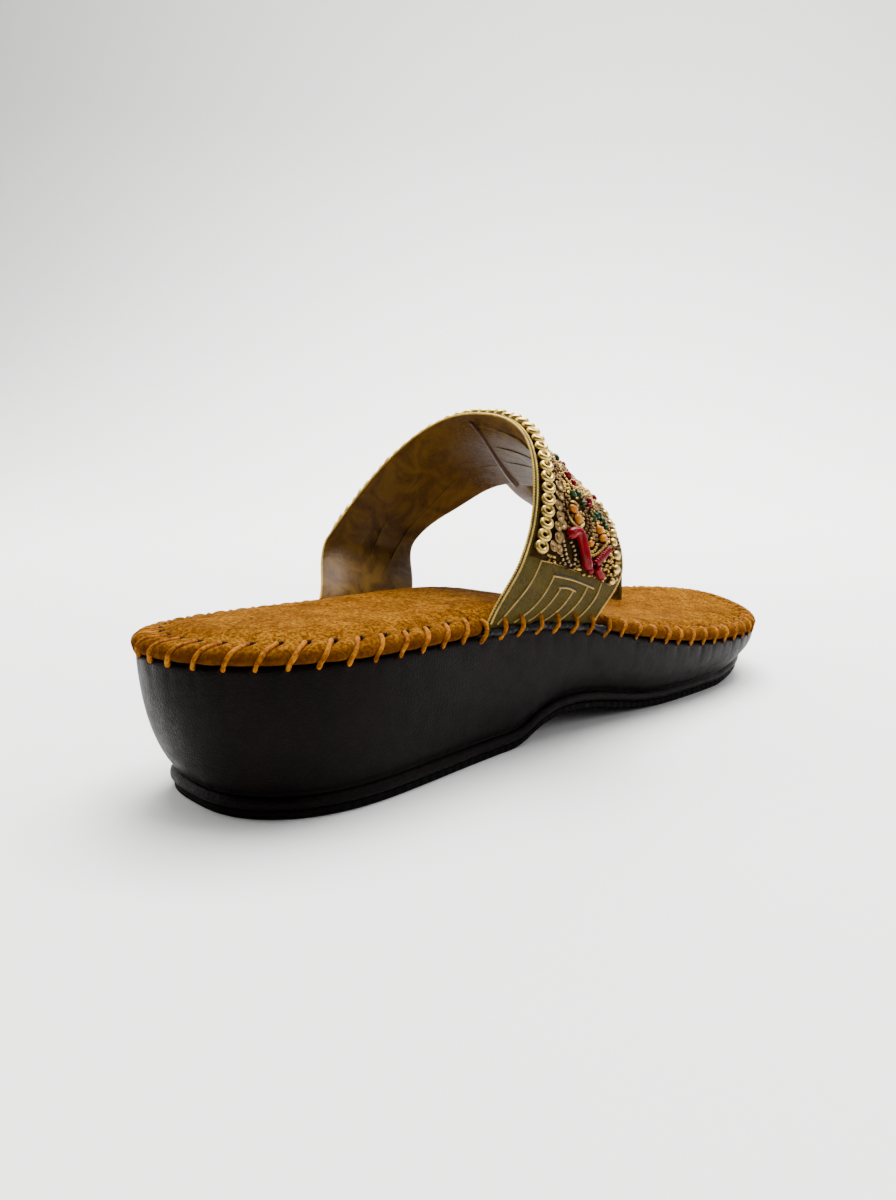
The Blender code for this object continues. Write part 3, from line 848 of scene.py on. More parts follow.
def make_outsole():
    """The tread, with a small round along both of its edges."""
    count = STITCHES * OUTSOLE_COLUMNS
    place, outward = edge.at(np.arange(count) * edge.total / count)
    rim = flare_at(place[:, 1] / LENGTH) + OUTSOLE_SETBACK
    radius = OUTSOLE_THICKNESS / 4
    quarter = np.linspace(0, np.pi / 2, 4)
    rings = []
    for turns, level, sign in ((quarter, outsole_top, -1), (quarter[::-1], outsole_under, 1)):
        for turn in turns:
            inset, shift = rim + radius * (1 - np.sin(turn)), sign * radius * (1 - np.cos(turn))
            rings.append(ring_points(inset, lambda x, a: level(x, a) + shift, place, outward))
    return loft("outsole_rubber", rings, outsole_top, outsole_under, SOLE_CAP_COLUMNS, [rubber()])


ROLL_KNOTS = np.arange(len(ROLL))
roll_inset = spline(ROLL_KNOTS, [r[0] * (ROLL_WIDTH if r[0] > 0 else ROLL_OVERHANG) for r in ROLL])
roll_height = spline(ROLL_KNOTS, [r[1] * ROLL_HEIGHT for r in ROLL])
STITCH_START, STITCH_END = 1.0, 7.4  # knots at which a stitch leaves the wall and enters the suede
END_SHIFT = 0.9  # knots by which it enters further in at the heel
SHIFT_START, SHIFT_LENGTH = 0.030, 0.040  # from the heel's tip, where that dies out
CUSHION_RISE = 0.0023  # the padded bed inside the roll, above the solid's flat one
CUSHION_START, CUSHION_WIDTH = 0.0026, 0.0100


def cushion(inside):
    """How much the padding lifts the suede at this distance inside the wall's top edge."""
    return CUSHION_RISE * smooth((inside - CUSHION_START) / CUSHION_WIDTH)


def from_heel(s):
    """Length round the edge to the heel's tip, the shorter way."""
    return np.minimum(s % edge.total, edge.total - s % edge.total)


def slant_at(s):
    """How far the upper holes are ahead of the lower ones here, in metres."""
    return PITCH * (HEEL_SLANT + (STITCH_SLANT - HEEL_SLANT) * smooth(from_heel(s) / SLANT_EASE))


def stitch_end(s):
    """Knot of the roll at which a stitch here enters the suede: further in at the heel."""
    return STITCH_END - END_SHIFT * smooth((from_heel(s) - SHIFT_START) / SHIFT_LENGTH)


def slant_share(knot):
    """Share of a stitch's sideways slant reached at a knot: it grows with the way over the roll."""
    steps = np.linspace(STITCH_START, STITCH_END, 80)
    way = np.hypot(np.gradient(roll_inset(steps)), np.gradient(roll_height(steps)))
    share = np.cumsum(way) / way.sum()
    return np.interp(knot, steps, share)


PINCH_WIDTH = 0.00125  # of the groove that a stitch presses into the roll
RELIEF_KNOTS = 0.6, 1.2  # knot at which the roll's relief starts, and knots over which it grows
CUSHION_KNOTS = 4.0, 2.0  # the same for the cushion's lift


def footbed_under(x, along):
    return top_at(x, along) + GAP


def roll_point(s, knot, lift=0.0):
    """Points of the footbed's rolled edge, pinched under the stitches. s and knot are arrays."""
    s, knot = np.broadcast_arrays(np.asarray(s, float), np.asarray(knot, float))
    place, outward = edge.at(s)
    step = 0.02
    d_inset = roll_inset(knot + step) - roll_inset(knot - step)
    d_height = roll_height(knot + step) - roll_height(knot - step)
    size = np.hypot(d_inset, d_height) + 1e-9
    across, up = d_height / size, d_inset / size  # outward and upward part of the way out of the roll
    near = stitch_phase(s - slant_at(s) * slant_share(knot))
    pinch = np.exp(-((near / PINCH_WIDTH) ** 2))
    bulge = np.cos(np.pi * near / PITCH) ** 2
    window = smooth((knot - RELIEF_KNOTS[0]) / RELIEF_KNOTS[1])
    foot = in_foot(s)
    relief = window * (ROLL_BULGE * (1 - bulge) - ROLL_PINCH * pinch) * (1 - foot) + lift
    inset = roll_inset(knot) + NOTCH_DEPTH * foot - across * relief
    spot = place - outward * inset[..., None]
    z = footbed_under(spot[..., 0], spot[..., 1] / LENGTH) + roll_height(knot) + up * relief
    z = z + cushion(inset) * smooth((knot - CUSHION_KNOTS[0]) / CUSHION_KNOTS[1])
    return np.concatenate([spot, z[..., None]], -1)


def nearest_edge(x, y, chunk=2000):
    """Length round the edge and distance inside it, for points of the footbed."""
    s = np.linspace(0, edge.total, 1600, endpoint=False)
    place, _ = edge.at(s)
    lengths, distances = [], []
    for start in range(0, len(x), chunk):
        part = slice(start, start + chunk)
        gap = np.hypot(x[part, None] - place[:, 0], y[part, None] - place[:, 1])
        best = gap.argmin(1)
        lengths.append(s[best])
        distances.append(gap[np.arange(len(best)), best])
    return np.concatenate(lengths), np.concatenate(distances)


BED_PUCKER_DEPTH, BED_PUCKER_WIDTH, BED_PUCKER_LENGTH = 0.00035, 0.0016, 0.0045
DISH_DEPTH, DISH_WIDTH = 0.0003, 0.016  # of the hollow under the forefoot
SOFT_DEPTH = 0.00022  # slow unevenness of the padding


def bed_top(x, along):
    """The footbed's upper face inside the roll: dished, with puckers that run in from the stitches."""
    shape = np.shape(x)
    x, y = np.ravel(x), np.ravel(along) * LENGTH
    s, inside = nearest_edge(x, y)
    beyond = inside - ROLL_WIDTH
    near = stitch_phase(s - slant_at(s))
    pucker = -BED_PUCKER_DEPTH * np.exp(-beyond / BED_PUCKER_LENGTH - (near / BED_PUCKER_WIDTH) ** 2)
    dish = -DISH_DEPTH * smooth(beyond / DISH_WIDTH) * smooth((y / LENGTH - 0.62) / 0.08)
    soft = SOFT_DEPTH * np.sin(x / 0.011 + 1.3) * np.sin(y / 0.016) * smooth(beyond / 0.01)
    roll_end = footbed_under(x, y / LENGTH) + ROLL[-1][1] * ROLL_HEIGHT
    return (roll_end + cushion(inside) + pucker + dish + soft).reshape(shape)


SUEDE_HOLE_REACH = 0.0011
SUEDE_HOLE_DEPTH = 0.0012
EDGE_SHADE = 0.75  # how dark the painted shade on the roll's lower, outer side gets


def make_footbed():
    """The suede footbed: its rolled edge, drawn in at each stitch, and the padded bed inside it."""
    count = STITCHES * COLUMNS_PER_STITCH
    s = np.arange(count) * edge.total / count
    near = stitch_phase(s - slant_at(s))
    hole_inset = roll_inset(stitch_end(s))
    rings, roll_shades, hole_shades = [], [], []
    for knot in np.linspace(len(ROLL) - 1, 0, ROLL_RINGS):
        points = roll_point(s, knot)
        away = (near / SUEDE_HOLE_REACH) ** 2 + ((roll_inset(knot) - hole_inset) / SUEDE_HOLE_REACH) ** 2
        hole = np.exp(-away) * (knot > 5) * (1 - in_foot(s))
        points[:, 2] -= SUEDE_HOLE_DEPTH * hole
        rings.append(points)
        # painted shade on the roll's lower, outer side: full up to knot 3, gone by knot 5.2
        roll_shades.append(np.full(count, smooth((5.2 - knot) / 2.2) * EDGE_SHADE))
        # painted shade in the stitch holes
        hole_shades.append(np.clip(hole * 1.5, 0, 1))
    flat = np.zeros(2 * (count // 2 - 1) * (CAP_COLUMNS - 1))  # for the points of the two caps
    # vertex layers of painted shade for the suede's colour
    layers = (("edge", np.concatenate(roll_shades + [flat])), ("hole", np.concatenate(hole_shades + [flat])))
    return loft("suede_footbed", rings, bed_top, footbed_under, CAP_COLUMNS, [suede()], attributes=layers)


CORD_LIFT = 0.75 * STITCH_RADIUS  # of a cord's middle above the roll
CORD_END = 0.0012  # how deep it ends in the suede
# A stitch against the strap's foot: inset, height above the wall's top, share of its lean
FOOT_LEAN = 0.18  # as a share of the pitch
FOOT_STITCH = (
    (0.0012, -LOWER_HOLE - 0.0012, 0.0),
    (0.0000, -LOWER_HOLE - 0.0010, 0.0),
    (-0.0009, -LOWER_HOLE + 0.0002, 0.2),
    (-0.0013, 0.0006, 0.5),
    (-0.0011, 0.0021, 0.8),
    (-0.0003, 0.0034, 1.0),
    (0.0012, 0.0040, 1.0),
)
STITCH_POINTS = 22
STITCH_JITTER = 0.00022  # how unevenly the stitches stand


def beside_foot(s0):
    """True where a stitch that starts here runs against a foot of the strap."""
    return max(in_foot(np.array([s0]))[0], in_foot(np.array([s0 + slant_at(s0)]))[0]) > 0.5


def stitch_path(s0):
    """The cord of one stitch: out of the wall, over the roll, into the suede."""
    place, _ = edge.at(np.array([s0]))
    top = top_at(place[0, 0], place[0, 1] / LENGTH)

    def wall(inset, height, ahead=0.0):
        spot, out = edge.at(np.array([s0 + ahead * PITCH]))
        return np.array([*(spot[0] - out[0] * inset), top + height])

    if beside_foot(s0):
        return np.array([wall(inset, height, FOOT_LEAN * share) for inset, height, share in FOOT_STITCH])
    slant, last = slant_at(s0), stitch_end(s0)
    knots = np.linspace(STITCH_START + 0.3, last - 0.1, 11)
    over = roll_point(s0 + slant * slant_share(knots), knots, CORD_LIFT)
    sunk = roll_point(np.array([s0 + slant * (slant_share(last) + 0.02)]), np.array([last + 0.1]), -CORD_END)
    start = [wall(0.0013, -LOWER_HOLE - 0.0003, -0.03), wall(0.0001, -LOWER_HOLE - 0.0001, -0.02)]
    return np.concatenate([start, over, sunk])


def resample(path, count):
    """A smooth path of evenly spaced points through the given ones."""
    path = np.asarray(path, float)
    length = lengths_along(path)
    at = np.linspace(0, length[-1], count)
    return np.stack([spline(length, path[:, k])(at) for k in range(3)], 1)


def make_stitches():
    """One whip stitch after another round the whole edge."""
    cord = Joined()
    for k in range(STITCHES):
        s0 = (k + STITCH_PHASE) * PITCH + RANDOM.normal(0, STITCH_JITTER)
        path = resample(stitch_path(s0), STITCH_POINTS)
        radius = STITCH_RADIUS * (1 + 0.10 * np.sin(np.linspace(0, 9, STITCH_POINTS) + k))
        cord.add(*tube(path, radius, sides=10))
    return cord.build("edge_stitches", [waxed_cord()])


def make_foot_folds():
    """The crumpled fold of black leather where each foot of the strap enters the sole."""
    bits = Joined()
    for start, end in FEET:
        s = np.linspace(start - 0.001, end + 0.001, 150)
        place, outward = edge.at(s)
        top = top_at(place[:, 0], place[:, 1] / LENGTH)
        crumple = 0.16 * np.sin(s / 0.00052 + 2 * np.sin(s / 0.0013)) + 0.12 * np.sin(s / 0.0021 + 1)
        ends = np.clip(np.minimum(s - s[0], s[-1] - s) / 0.002, 0, 1) ** 0.5
        radius = FOLD_RADIUS * (1 + crumple) * (0.15 + 0.85 * ends)
        line = np.column_stack([place + outward * 0.0001, top + 0.0004 + 0.0002 * np.sin(s / 0.0017)])
        bits.add(*tube(line, radius, sides=14))
    dark, light = (0.0012, 0.0008, 0.0008), (0.0035, 0.0022, 0.0020)
    made = two_tone("folded_leather", 0.36, 0.002, dark, light, Specular_IOR_Level=0.10)
    made.bump(made.noise(0.0010, detail=3, distortion=0.8), 0.00022)
    return bits.build("foot_folds", [made.material])


SLOT_SIZE = (0.0031, 0.0014, 0.0009)  # of the dark piece of painted shade in the slot at a stitch's upper end
DENT_SIZE = (0.0016, 0.0014, 0.0004)  # of the dark piece of painted shade in the dent in the wall at its lower end
SLOT_SKEW = 0.35  # how far a slot turns with the slant of its stitch


def make_hole_shade_pieces():
    """Dark pieces of painted shade in the slots that the stitches pull open in the suede, and in the dents in
    the wall.
    """
    bits = Joined()
    slot = bead_shape(1.0, 1.0, sides=14, around=7)
    up = np.array([0, 0, 1.0])
    for k in range(STITCHES):
        s0 = (k + STITCH_PHASE) * PITCH
        if beside_foot(s0):
            continue
        last = stitch_end(s0)
        ahead = s0 + slant_at(s0) * slant_share(last) + 0.13 * PITCH
        spot = roll_point(np.array([ahead]), np.array([last + 0.2]), 0.00010)[0]
        _, out = edge.at(np.array([ahead]))
        out = np.array([*out[0], 0.0])
        fore = np.cross(up, out)
        size = RANDOM.uniform(0.8, 1.25)
        shape = (slot[0] * SLOT_SIZE * [size, size, 1], slot[1])
        bits.place(shape, spot, unit(SLOT_SKEW * out - fore), unit(out + SLOT_SKEW * fore), up)
        place, out = edge.at(np.array([s0 - 0.10 * PITCH]))
        out = np.array([*out[0], 0.0])
        top = top_at(place[0, 0], place[0, 1] / LENGTH)
        spot = np.array([*place[0], top - LOWER_HOLE - 0.0004]) + out * 0.00002
        bits.place((slot[0] * DENT_SIZE, slot[1]), spot, np.cross(up, out), up, out)
    dark, light = (0.0045, 0.0018, 0.0010), (0.012, 0.004, 0.002)
    shade = two_tone("hole_shade", 0.95, 0.001, dark, light, Specular_IOR_Level=0.05)
    return bits.build("painted_hole_shade", [shade.material])


EDGE_ROUND = 6  # points round each rounded edge of the strap
LINING_TAPER = 0.0019  # how much thinner the strap is at its rear edge
TAPER_WIDTH = 0.0055


def strap_section(across):
    """One closed loop round the strap's section at a place across: outer face, front edge, lining, rear edge.

    Gives the places down, the lifts above the lining, and 0 on the cloth or 1 on the lining.
    """
    width = strap_width(across)
    front = 0.5 * STRAP_WALL / width
    rear_wall = STRAP_WALL - LINING_TAPER
    rear = 0.5 * rear_wall / width
    turns = np.linspace(0, np.pi, EDGE_ROUND + 2)[1:-1]
    outer, inner = np.linspace(rear, 1 - front, 40), np.linspace(1 - front, rear, 60)
    taper = LINING_TAPER * np.exp(-(((inner - rear) * width / TAPER_WIDTH) ** 2))
    front_lift = STRAP_WALL * (0.5 + 0.5 * np.cos(turns))
    rear_lift = LINING_TAPER + rear_wall * (0.5 + 0.5 * np.cos(turns[::-1]))
    downs = [outer, 1 - front + front * np.sin(turns), inner, rear - rear * np.sin(turns[::-1])]
    lifts = [np.full(len(outer), STRAP_WALL), front_lift, taper, rear_lift]
    on_lining = (turns > 2 * np.pi / 3).astype(int)
    kinds = [np.zeros(len(outer), int), on_lining, np.ones(len(inner), int), on_lining[::-1]]
    return np.concatenate(downs), np.concatenate(lifts), np.concatenate(kinds)


def crest_tone(across):
    """How much redder and darker the lining is: near the crest."""
    return smooth(1 - np.abs(across + 0.05) / 0.5) * 0.8


def make_strap():
    """The olive cloth of the strap with its lining: one skin with rounded edges, open at its hidden ends."""
    foot = np.linspace(0.9, 1, 16)
    columns = np.concatenate([-foot[::-1], np.linspace(-0.9, 0.9, 190)[1:-1], foot])
    sections, tones = [], []
    for across in columns:
        downs, lifts, kinds = strap_section(across)
        sections.append(strap_frame(np.full(len(downs), across), downs, lifts)[0])
        tones.append(np.full(len(downs), crest_tone(across)))
    faces = grid_faces(len(columns), len(kinds), close_columns=True)[:, ::-1]
    kinds = np.tile(kinds, len(columns) - 1)
    crest = (("crest", np.concatenate(tones)),)
    return mesh_object("strap_cloth", np.concatenate(sections), faces, [brocade(), lining()], kinds, crest)


def post_place():
    along, _, across, _ = THONG[-1]
    return LATERAL_BALL * across, LENGTH * along


THONG_SIDES = 28
THONG_SQUARENESS = 0.45  # of its section: 1 is round, 0 is square


def make_thong():
    """The narrow strip from the strap's front edge down to its post."""
    x, y = post_place()
    base = top_at(x, y / LENGTH) + GAP
    root = strap_frame(np.zeros(2), np.array([0.90, 0.97]), np.zeros(2))[0]
    rows = [(*root[0], THONG_ROOT / 2 * 1.05), (*root[1], THONG_ROOT / 2)]
    for along, up, across, width in THONG:
        half = (POST_WIDTH + (THONG_ROOT - POST_WIDTH) * width) / 2
        rows.append((LATERAL_BALL * across, LENGTH * along, base + (INSTEP_HEIGHT - base) * up, half))
    rows = np.array(rows)
    length = lengths_along(rows[:, :3])
    at = np.linspace(0, length[-1], 90)
    centre = np.stack([spline(length, rows[:, k])(at) for k in range(3)], 1)
    half = spline(length, rows[:, 3])(at)
    tangent = unit(np.gradient(centre, axis=0))
    across = np.array([1.0, 0.0, 0.0])
    out = unit(np.cross(np.broadcast_to(across, tangent.shape), tangent))
    turns = np.linspace(0, 2 * np.pi, THONG_SIDES, endpoint=False)
    wide = np.sign(np.cos(turns)) * np.abs(np.cos(turns)) ** THONG_SQUARENESS
    high = np.sign(np.sin(turns)) * np.abs(np.sin(turns)) ** THONG_SQUARENESS
    rings = []
    for k in range(len(at)):
        middle = centre[k] + out[k] * STRAP_WALL / 2
        rings.append(middle + half[k] * wide[:, None] * across + (STRAP_WALL / 2) * high[:, None] * out[k])
    faces = grid_faces(len(at), THONG_SIDES, close_columns=True)[:, ::-1]
    kinds = np.tile((np.sin(turns + np.pi / THONG_SIDES) < -0.2).astype(int), len(at) - 1)
    points = np.concatenate(rings)
    crest = (("crest", np.full(len(points), 0.5)),)
    return mesh_object("thong", points, faces, [brocade(), lining()], kinds, crest)


def on_strap(pairs, lift):
    """Points of a line on the strap's outer face, from pairs (across, down)."""
    pairs = np.asarray(pairs, float)
    points, _, _, _ = strap_frame(pairs[:, 0], pairs[:, 1], np.full(len(pairs), lift))
    return points


def twisted(bits, path, radius, turn_length, sides=6):
    """Two strands wound round each other along a path."""
    turns = lengths_along(path)[-1] / turn_length
    count = max(8, int(turns * 8))
    even = resample(path, count)
    tangent = unit(np.gradient(even, axis=0))
    helper = np.array([0.3, 0.2, 0.93])
    side = unit(np.cross(tangent, helper))
    other = np.cross(tangent, side)
    angle = np.linspace(0, turns * 2 * np.pi, count)
    for start in (0, np.pi):
        swing = np.cos(angle + start)[:, None] * side + np.sin(angle + start)[:, None] * other
        bits.add(*tube(even + swing * radius * 0.8, radius, sides=sides))


# Threads of the strap's rear edge: distance down from it and lift above the outer face, in mm
REAR_THREADS = ((0.15, -0.45), (0.85, 0.12))
# Dark lines of painted shade between and beside those threads, given the same way
REAR_SHADE_LINES = ((0.42, -0.02), (1.35, 0.0))


def along_rear(inside, lift, count):
    """A line along the strap's rear edge, this far inside it and above the outer face, in mm."""
    across = np.linspace(-0.99, 0.99, count)
    return on_strap(np.stack([across, inside * MM / strap_width(across)], 1), STRAP_WALL + lift * MM)


def make_rear_cord():
    """The double gold thread along the strap's rear edge."""
    bits = Joined()
    for inside, lift in REAR_THREADS:
        twisted(bits, along_rear(inside, lift, 260), 0.00021, 0.0017)
    return bits.build("rear_edge_threads", [gold("gold_thread", (0.60, 0.385, 0.055), 0.34)])


def make_edge_shadow():
    """Dark lines of painted shade between the two gold threads and beside them."""
    bits = Joined()
    for inside, lift in REAR_SHADE_LINES:
        bits.add(*tube(along_rear(inside, lift, 200), 0.00022, sides=6))
    dark = two_tone("rear_edge_shade", 0.7, 0.001, (0.010, 0.005, 0.002), (0.028, 0.015, 0.006))
    return bits.build("rear_edge_shade", [dark.material])


# Creases of the lining: points (across, down) that each runs through
LINING_RIDGES = (
    ((-0.955, 0.60), (-0.86, 0.74), (-0.69, 0.80), (-0.53, 0.72), (-0.34, 0.65), (-0.14, 0.65), (-0.02, 0.66)),
    ((-0.955, 0.40), (-0.86, 0.50), (-0.74, 0.50), (-0.60, 0.44), (-0.46, 0.34)),
    ((0.955, 0.60), (0.86, 0.74), (0.69, 0.80), (0.53, 0.72), (0.34, 0.65), (0.14, 0.62), (0.02, 0.60)),
    ((0.02, 0.10), (0.20, 0.16), (0.38, 0.24), (0.56, 0.32), (0.80, 0.40)),
    ((0.02, 0.38), (0.16, 0.43), (0.34, 0.50), (0.60, 0.56)),
)


def make_lining_lines():
    """Soft ridges in the lining, and the piped seam down its middle that goes on along the thong."""
    ridges, seam = Joined(), Joined()
    for path in LINING_RIDGES:
        line = resample(on_strap(np.array(path), 0.00008), 60)
        ridges.add(*tube(line, 0.00040 * np.sin(np.linspace(0.05, np.pi - 0.05, 60)) ** 0.4, sides=8))
    down = np.linspace(0.05, 0.985, 40)
    line = on_strap(np.stack([0.003 * np.sin(down * 6), down], 1), 0.0001)
    seam.add(*tube(line, 0.00050 + 0.00060 * down, sides=10))
    brown = two_tone("seam_brown", 0.5, 0.004, (0.040, 0.012, 0.003), (0.085, 0.030, 0.007))
    lines = ridges.build("lining_ridges", [lining()])
    return lines, seam.build("lining_seam", [brown.material])


RING_WIDTH = 0.0043
RING_HOLE = 0.0011
RING_PITCH = 0.0034
RING_HEIGHT = 0.0020
RING_LEAN = np.radians(25)
CREST_LEAN = np.radians(17)  # how much steeper they stand over the crest and on the inner wing
RING_ROLL = np.radians(12)  # how far each rests on the one before
ANGLE_JITTER = 0.05
CREST_LIFT = 0.0005
RING_LIFT = 0.0017  # rings' middles above the strap
RING_IN = 0.0031  # rings' middles inside the strap's rear edge, at the crest
RING_DRIFT = 0.0010  # how much further in they lie at the bead field's outer end
SEQUIN_WIDTH = 0.0034
# Rows of sequins: middle inside the rear edge, pitch, lift, and how far across the row starts
SEQUIN_ROWS = ((0.0081, 0.0030, 0.0013, 0.58), (0.0102, 0.0036, 0.0010, 0.70))
SEED_WIDTH = 0.00100
SEED_PITCH = 0.00118
INNER_SHARE = 0.94  # the bead field of the inner wing is this much shorter

# Bead field of the outer wing, by place across and down; the inner wing has it mirrored.
# Stick beads: kind, thickness in mm, then the points they run through
STICKS = (
    (
        "coral",
        3.0,
        (
            (0.775, 0.315), (0.756, 0.352), (0.746, 0.405), (0.768, 0.452),
            (0.798, 0.490), (0.825, 0.535), (0.843, 0.585),
        ),
    ),
    ("coral", 2.3, ((0.828, 0.655), (0.840, 0.700), (0.845, 0.745))),
    ("coral", 1.9, ((0.330, 0.560), (0.300, 0.600), (0.285, 0.650))),
    ("coral", 2.0, ((0.180, 0.330), (0.150, 0.360), (0.140, 0.410))),
    ("coral", 2.0, ((0.060, 0.640), (0.030, 0.680), (0.020, 0.730))),
)
# Sticks wound with fine coral rings: thickness in mm and the two ends
SPIRALS = (
    (2.1, (0.822, 0.630), (0.752, 0.748)),
    (1.9, (0.250, 0.430), (0.210, 0.540)),
)
# Single stones: kind, place, length, width and height in mm, turn in degrees
STONES = (
    ("orange", 0.662, 0.362, 3.5, 2.3, 1.9, 75),
    ("orange", 0.694, 0.410, 3.3, 3.0, 2.0, 20),
    ("orange", 0.684, 0.655, 2.6, 2.4, 1.9, 40),
    ("orange", 0.714, 0.688, 3.2, 2.3, 2.1, 110),
    ("orange", 0.761, 0.562, 2.1, 1.9, 1.6, 0),
    ("coral", 0.491, 0.389, 2.9, 2.1, 1.9, 70),
    ("coral", 0.517, 0.436, 2.3, 1.9, 1.7, 20),
    ("coral", 0.560, 0.600, 2.6, 1.7, 1.7, 30),
    ("coral", 0.588, 0.580, 2.0, 1.5, 1.6, 100),
    ("coral", 0.842, 0.622, 2.2, 2.0, 1.8, 0),
    ("coral", 0.440, 0.850, 2.4, 1.8, 1.7, 20),
    ("green", 0.385, 0.360, 2.6, 2.2, 1.8, 0),
    ("green", 0.590, 0.380, 3.2, 1.8, 1.6, 70),
    ("green", 0.572, 0.462, 2.6, 1.7, 1.6, 20),
    ("green", 0.600, 0.500, 2.2, 1.7, 1.5, 120),
    ("green", 0.640, 0.605, 2.4, 1.5, 1.5, 60),
    ("green", 0.600, 0.700, 2.5, 1.6, 1.6, 15),
    ("green", 0.618, 0.738, 2.4, 1.5, 1.5, 80),
    ("green", 0.640, 0.760, 2.2, 1.5, 1.5, 130),
    ("green", 0.618, 0.655, 2.3, 1.6, 1.5, 40),
    ("orange", 0.340, 0.420, 2.7, 2.2, 1.8, 30),
    ("green", 0.300, 0.360, 2.5, 1.6, 1.5, 80),
    ("orange", 0.240, 0.640, 3.0, 2.3, 1.9, 60),
    ("orange", 0.205, 0.690, 2.6, 2.2, 1.8, 0),
    ("green", 0.270, 0.760, 2.6, 1.6, 1.5, 20),
    ("green", 0.235, 0.780, 2.4, 1.6, 1.5, 100),
    ("coral", 0.360, 0.780, 2.4, 2.0, 1.7, 40),
    ("coral", 0.120, 0.560, 2.5, 2.0, 1.8, 0),
    ("green", 0.090, 0.420, 2.6, 1.7, 1.5, 50),
    ("green", 0.065, 0.455, 2.4, 1.6, 1.5, 120),
    ("orange", 0.105, 0.800, 2.8, 2.2, 1.8, 20),
    ("orange", 0.020, 0.330, 3.0, 2.4, 1.9, 90),
    ("gold", 0.703, 0.822, 2.8, 2.8, 1.8, 0),
    ("gold", 0.756, 0.852, 3.0, 3.0, 2.0, 0),
    ("gold", 0.806, 0.862, 3.0, 3.0, 2.1, 0),
    ("gold", 0.845, 0.868, 2.4, 2.4, 1.7, 0),
    ("gold", 0.650, 0.850, 2.6, 2.6, 1.7, 0),
    ("gold", 0.597, 0.862, 2.6, 2.6, 1.7, 0),
    ("gold", 0.540, 0.862, 2.6, 2.6, 1.7, 0),
    ("gold", 0.483, 0.868, 2.6, 2.6, 1.7, 0),
    ("gold", 0.380, 0.868, 2.6, 2.6, 1.7, 0),
    ("gold", 0.320, 0.868, 2.6, 2.6, 1.7, 0),
    ("gold", 0.160, 0.872, 2.6, 2.6, 1.7, 0),
    ("gold", 0.055, 0.872, 2.6, 2.6, 1.7, 0),
)
# Loops of gold wire: points that each runs through
WIRES = (
    ((0.705, 0.315), (0.718, 0.352), (0.724, 0.400), (0.716, 0.448), (0.700, 0.470)),
    ((0.640, 0.340), (0.632, 0.375), (0.640, 0.415)),
    ((0.320, 0.395), (0.318, 0.430), (0.345, 0.465), (0.370, 0.440)),
)
# Chains of seed beads: kind, then the points that each runs through
CHAINS = (
    ("silver", ((0.792, 0.300), (0.812, 0.330), (0.832, 0.365), (0.848, 0.425))),
    ("silver", ((0.785, 0.372), (0.800, 0.410), (0.820, 0.440), (0.842, 0.455))),
    ("silver", ((0.822, 0.300), (0.840, 0.330), (0.850, 0.370))),
    ("bronze", ((0.640, 0.500), (0.665, 0.520), (0.695, 0.520), (0.728, 0.490))),
    ("bronze", ((0.650, 0.548), (0.680, 0.560), (0.712, 0.550), (0.738, 0.520))),
    ("gold", ((0.800, 0.560), (0.800, 0.600), (0.787, 0.640), (0.765, 0.680), (0.744, 0.712))),
    ("gold", ((0.775, 0.520), (0.785, 0.545), (0.790, 0.580), (0.778, 0.610), (0.752, 0.630))),
    ("gold", ((0.665, 0.700), (0.690, 0.725), (0.720, 0.735), (0.740, 0.720))),
    ("gold", ((0.455, 0.340), (0.470, 0.310), (0.505, 0.310), (0.535, 0.350), (0.545, 0.420), (0.530, 0.480))),
    ("gold", ((0.410, 0.560), (0.430, 0.620), (0.470, 0.660), (0.520, 0.680), (0.560, 0.660))),
    ("gold", ((0.290, 0.320), (0.260, 0.360), (0.255, 0.420))),
    ("gold", ((0.200, 0.740), (0.250, 0.700), (0.280, 0.640), (0.270, 0.580))),
    ("gold", ((0.010, 0.280), (0.045, 0.310), (0.050, 0.360), (0.020, 0.390))),
)
# Fields where the ground shows dark between the chains: place and reach, across and down
BARE = (
    (0.815, 0.385, 0.045, 0.090),
    (0.755, 0.300, 0.020, 0.030),
    (0.625, 0.440, 0.020, 0.090),
    (0.480, 0.340, 0.018, 0.030),
    (0.735, 0.500, 0.016, 0.040),
)
# Threads of the plain foot of each wing, below the beads: points that each runs through
RUNS = (
    ((0.860, 0.180), (0.906, 0.190), (0.955, 0.165), (0.992, 0.085)),
    ((0.887, 0.362), (0.936, 0.380), (0.972, 0.340), (0.993, 0.240)),
    ((0.914, 0.492), (0.950, 0.490), (0.976, 0.450), (0.993, 0.370)),
    ((0.912, 0.618), (0.948, 0.622), (0.975, 0.590), (0.993, 0.520)),
    ((0.889, 0.715), (0.925, 0.735), (0.962, 0.725), (0.993, 0.660)),
    ((0.862, 0.815), (0.905, 0.850), (0.950, 0.855), (0.992, 0.800)),
)
# Threads that join two runs at their upper ends
BRIDGES = (
    ((0.887, 0.350), (0.884, 0.520), (0.888, 0.780)),
    ((0.913, 0.472), (0.909, 0.550), (0.912, 0.640)),
    ((0.860, 0.170), (0.856, 0.350), (0.856, 0.540), (0.851, 0.720), (0.858, 0.915)),
)
THREAD_RADIUS = 0.00015


def wings(pairs):
    """The same places on both wings: the outer one, then the inner one mirrored."""
    pairs = np.asarray(pairs, float)
    yield 1, pairs
    yield -1, np.stack([-pairs[:, 0] * INNER_SHARE, pairs[:, 1]], 1)


def along_strap(pitch, inside, low, high):
    """Places (across, down) this far inside the rear edge, evenly spaced along the strap."""
    across = np.linspace(low, high, 600)
    down = (inside + RING_DRIFT * smooth((across - 0.3) / 0.6)) / strap_width(across)
    length = lengths_along(on_strap(np.stack([across, down], 1), STRAP_WALL))
    at = np.arange(pitch / 2, length[-1], pitch)
    return np.stack([np.interp(at, length, across), np.interp(at, length, down)], 1)


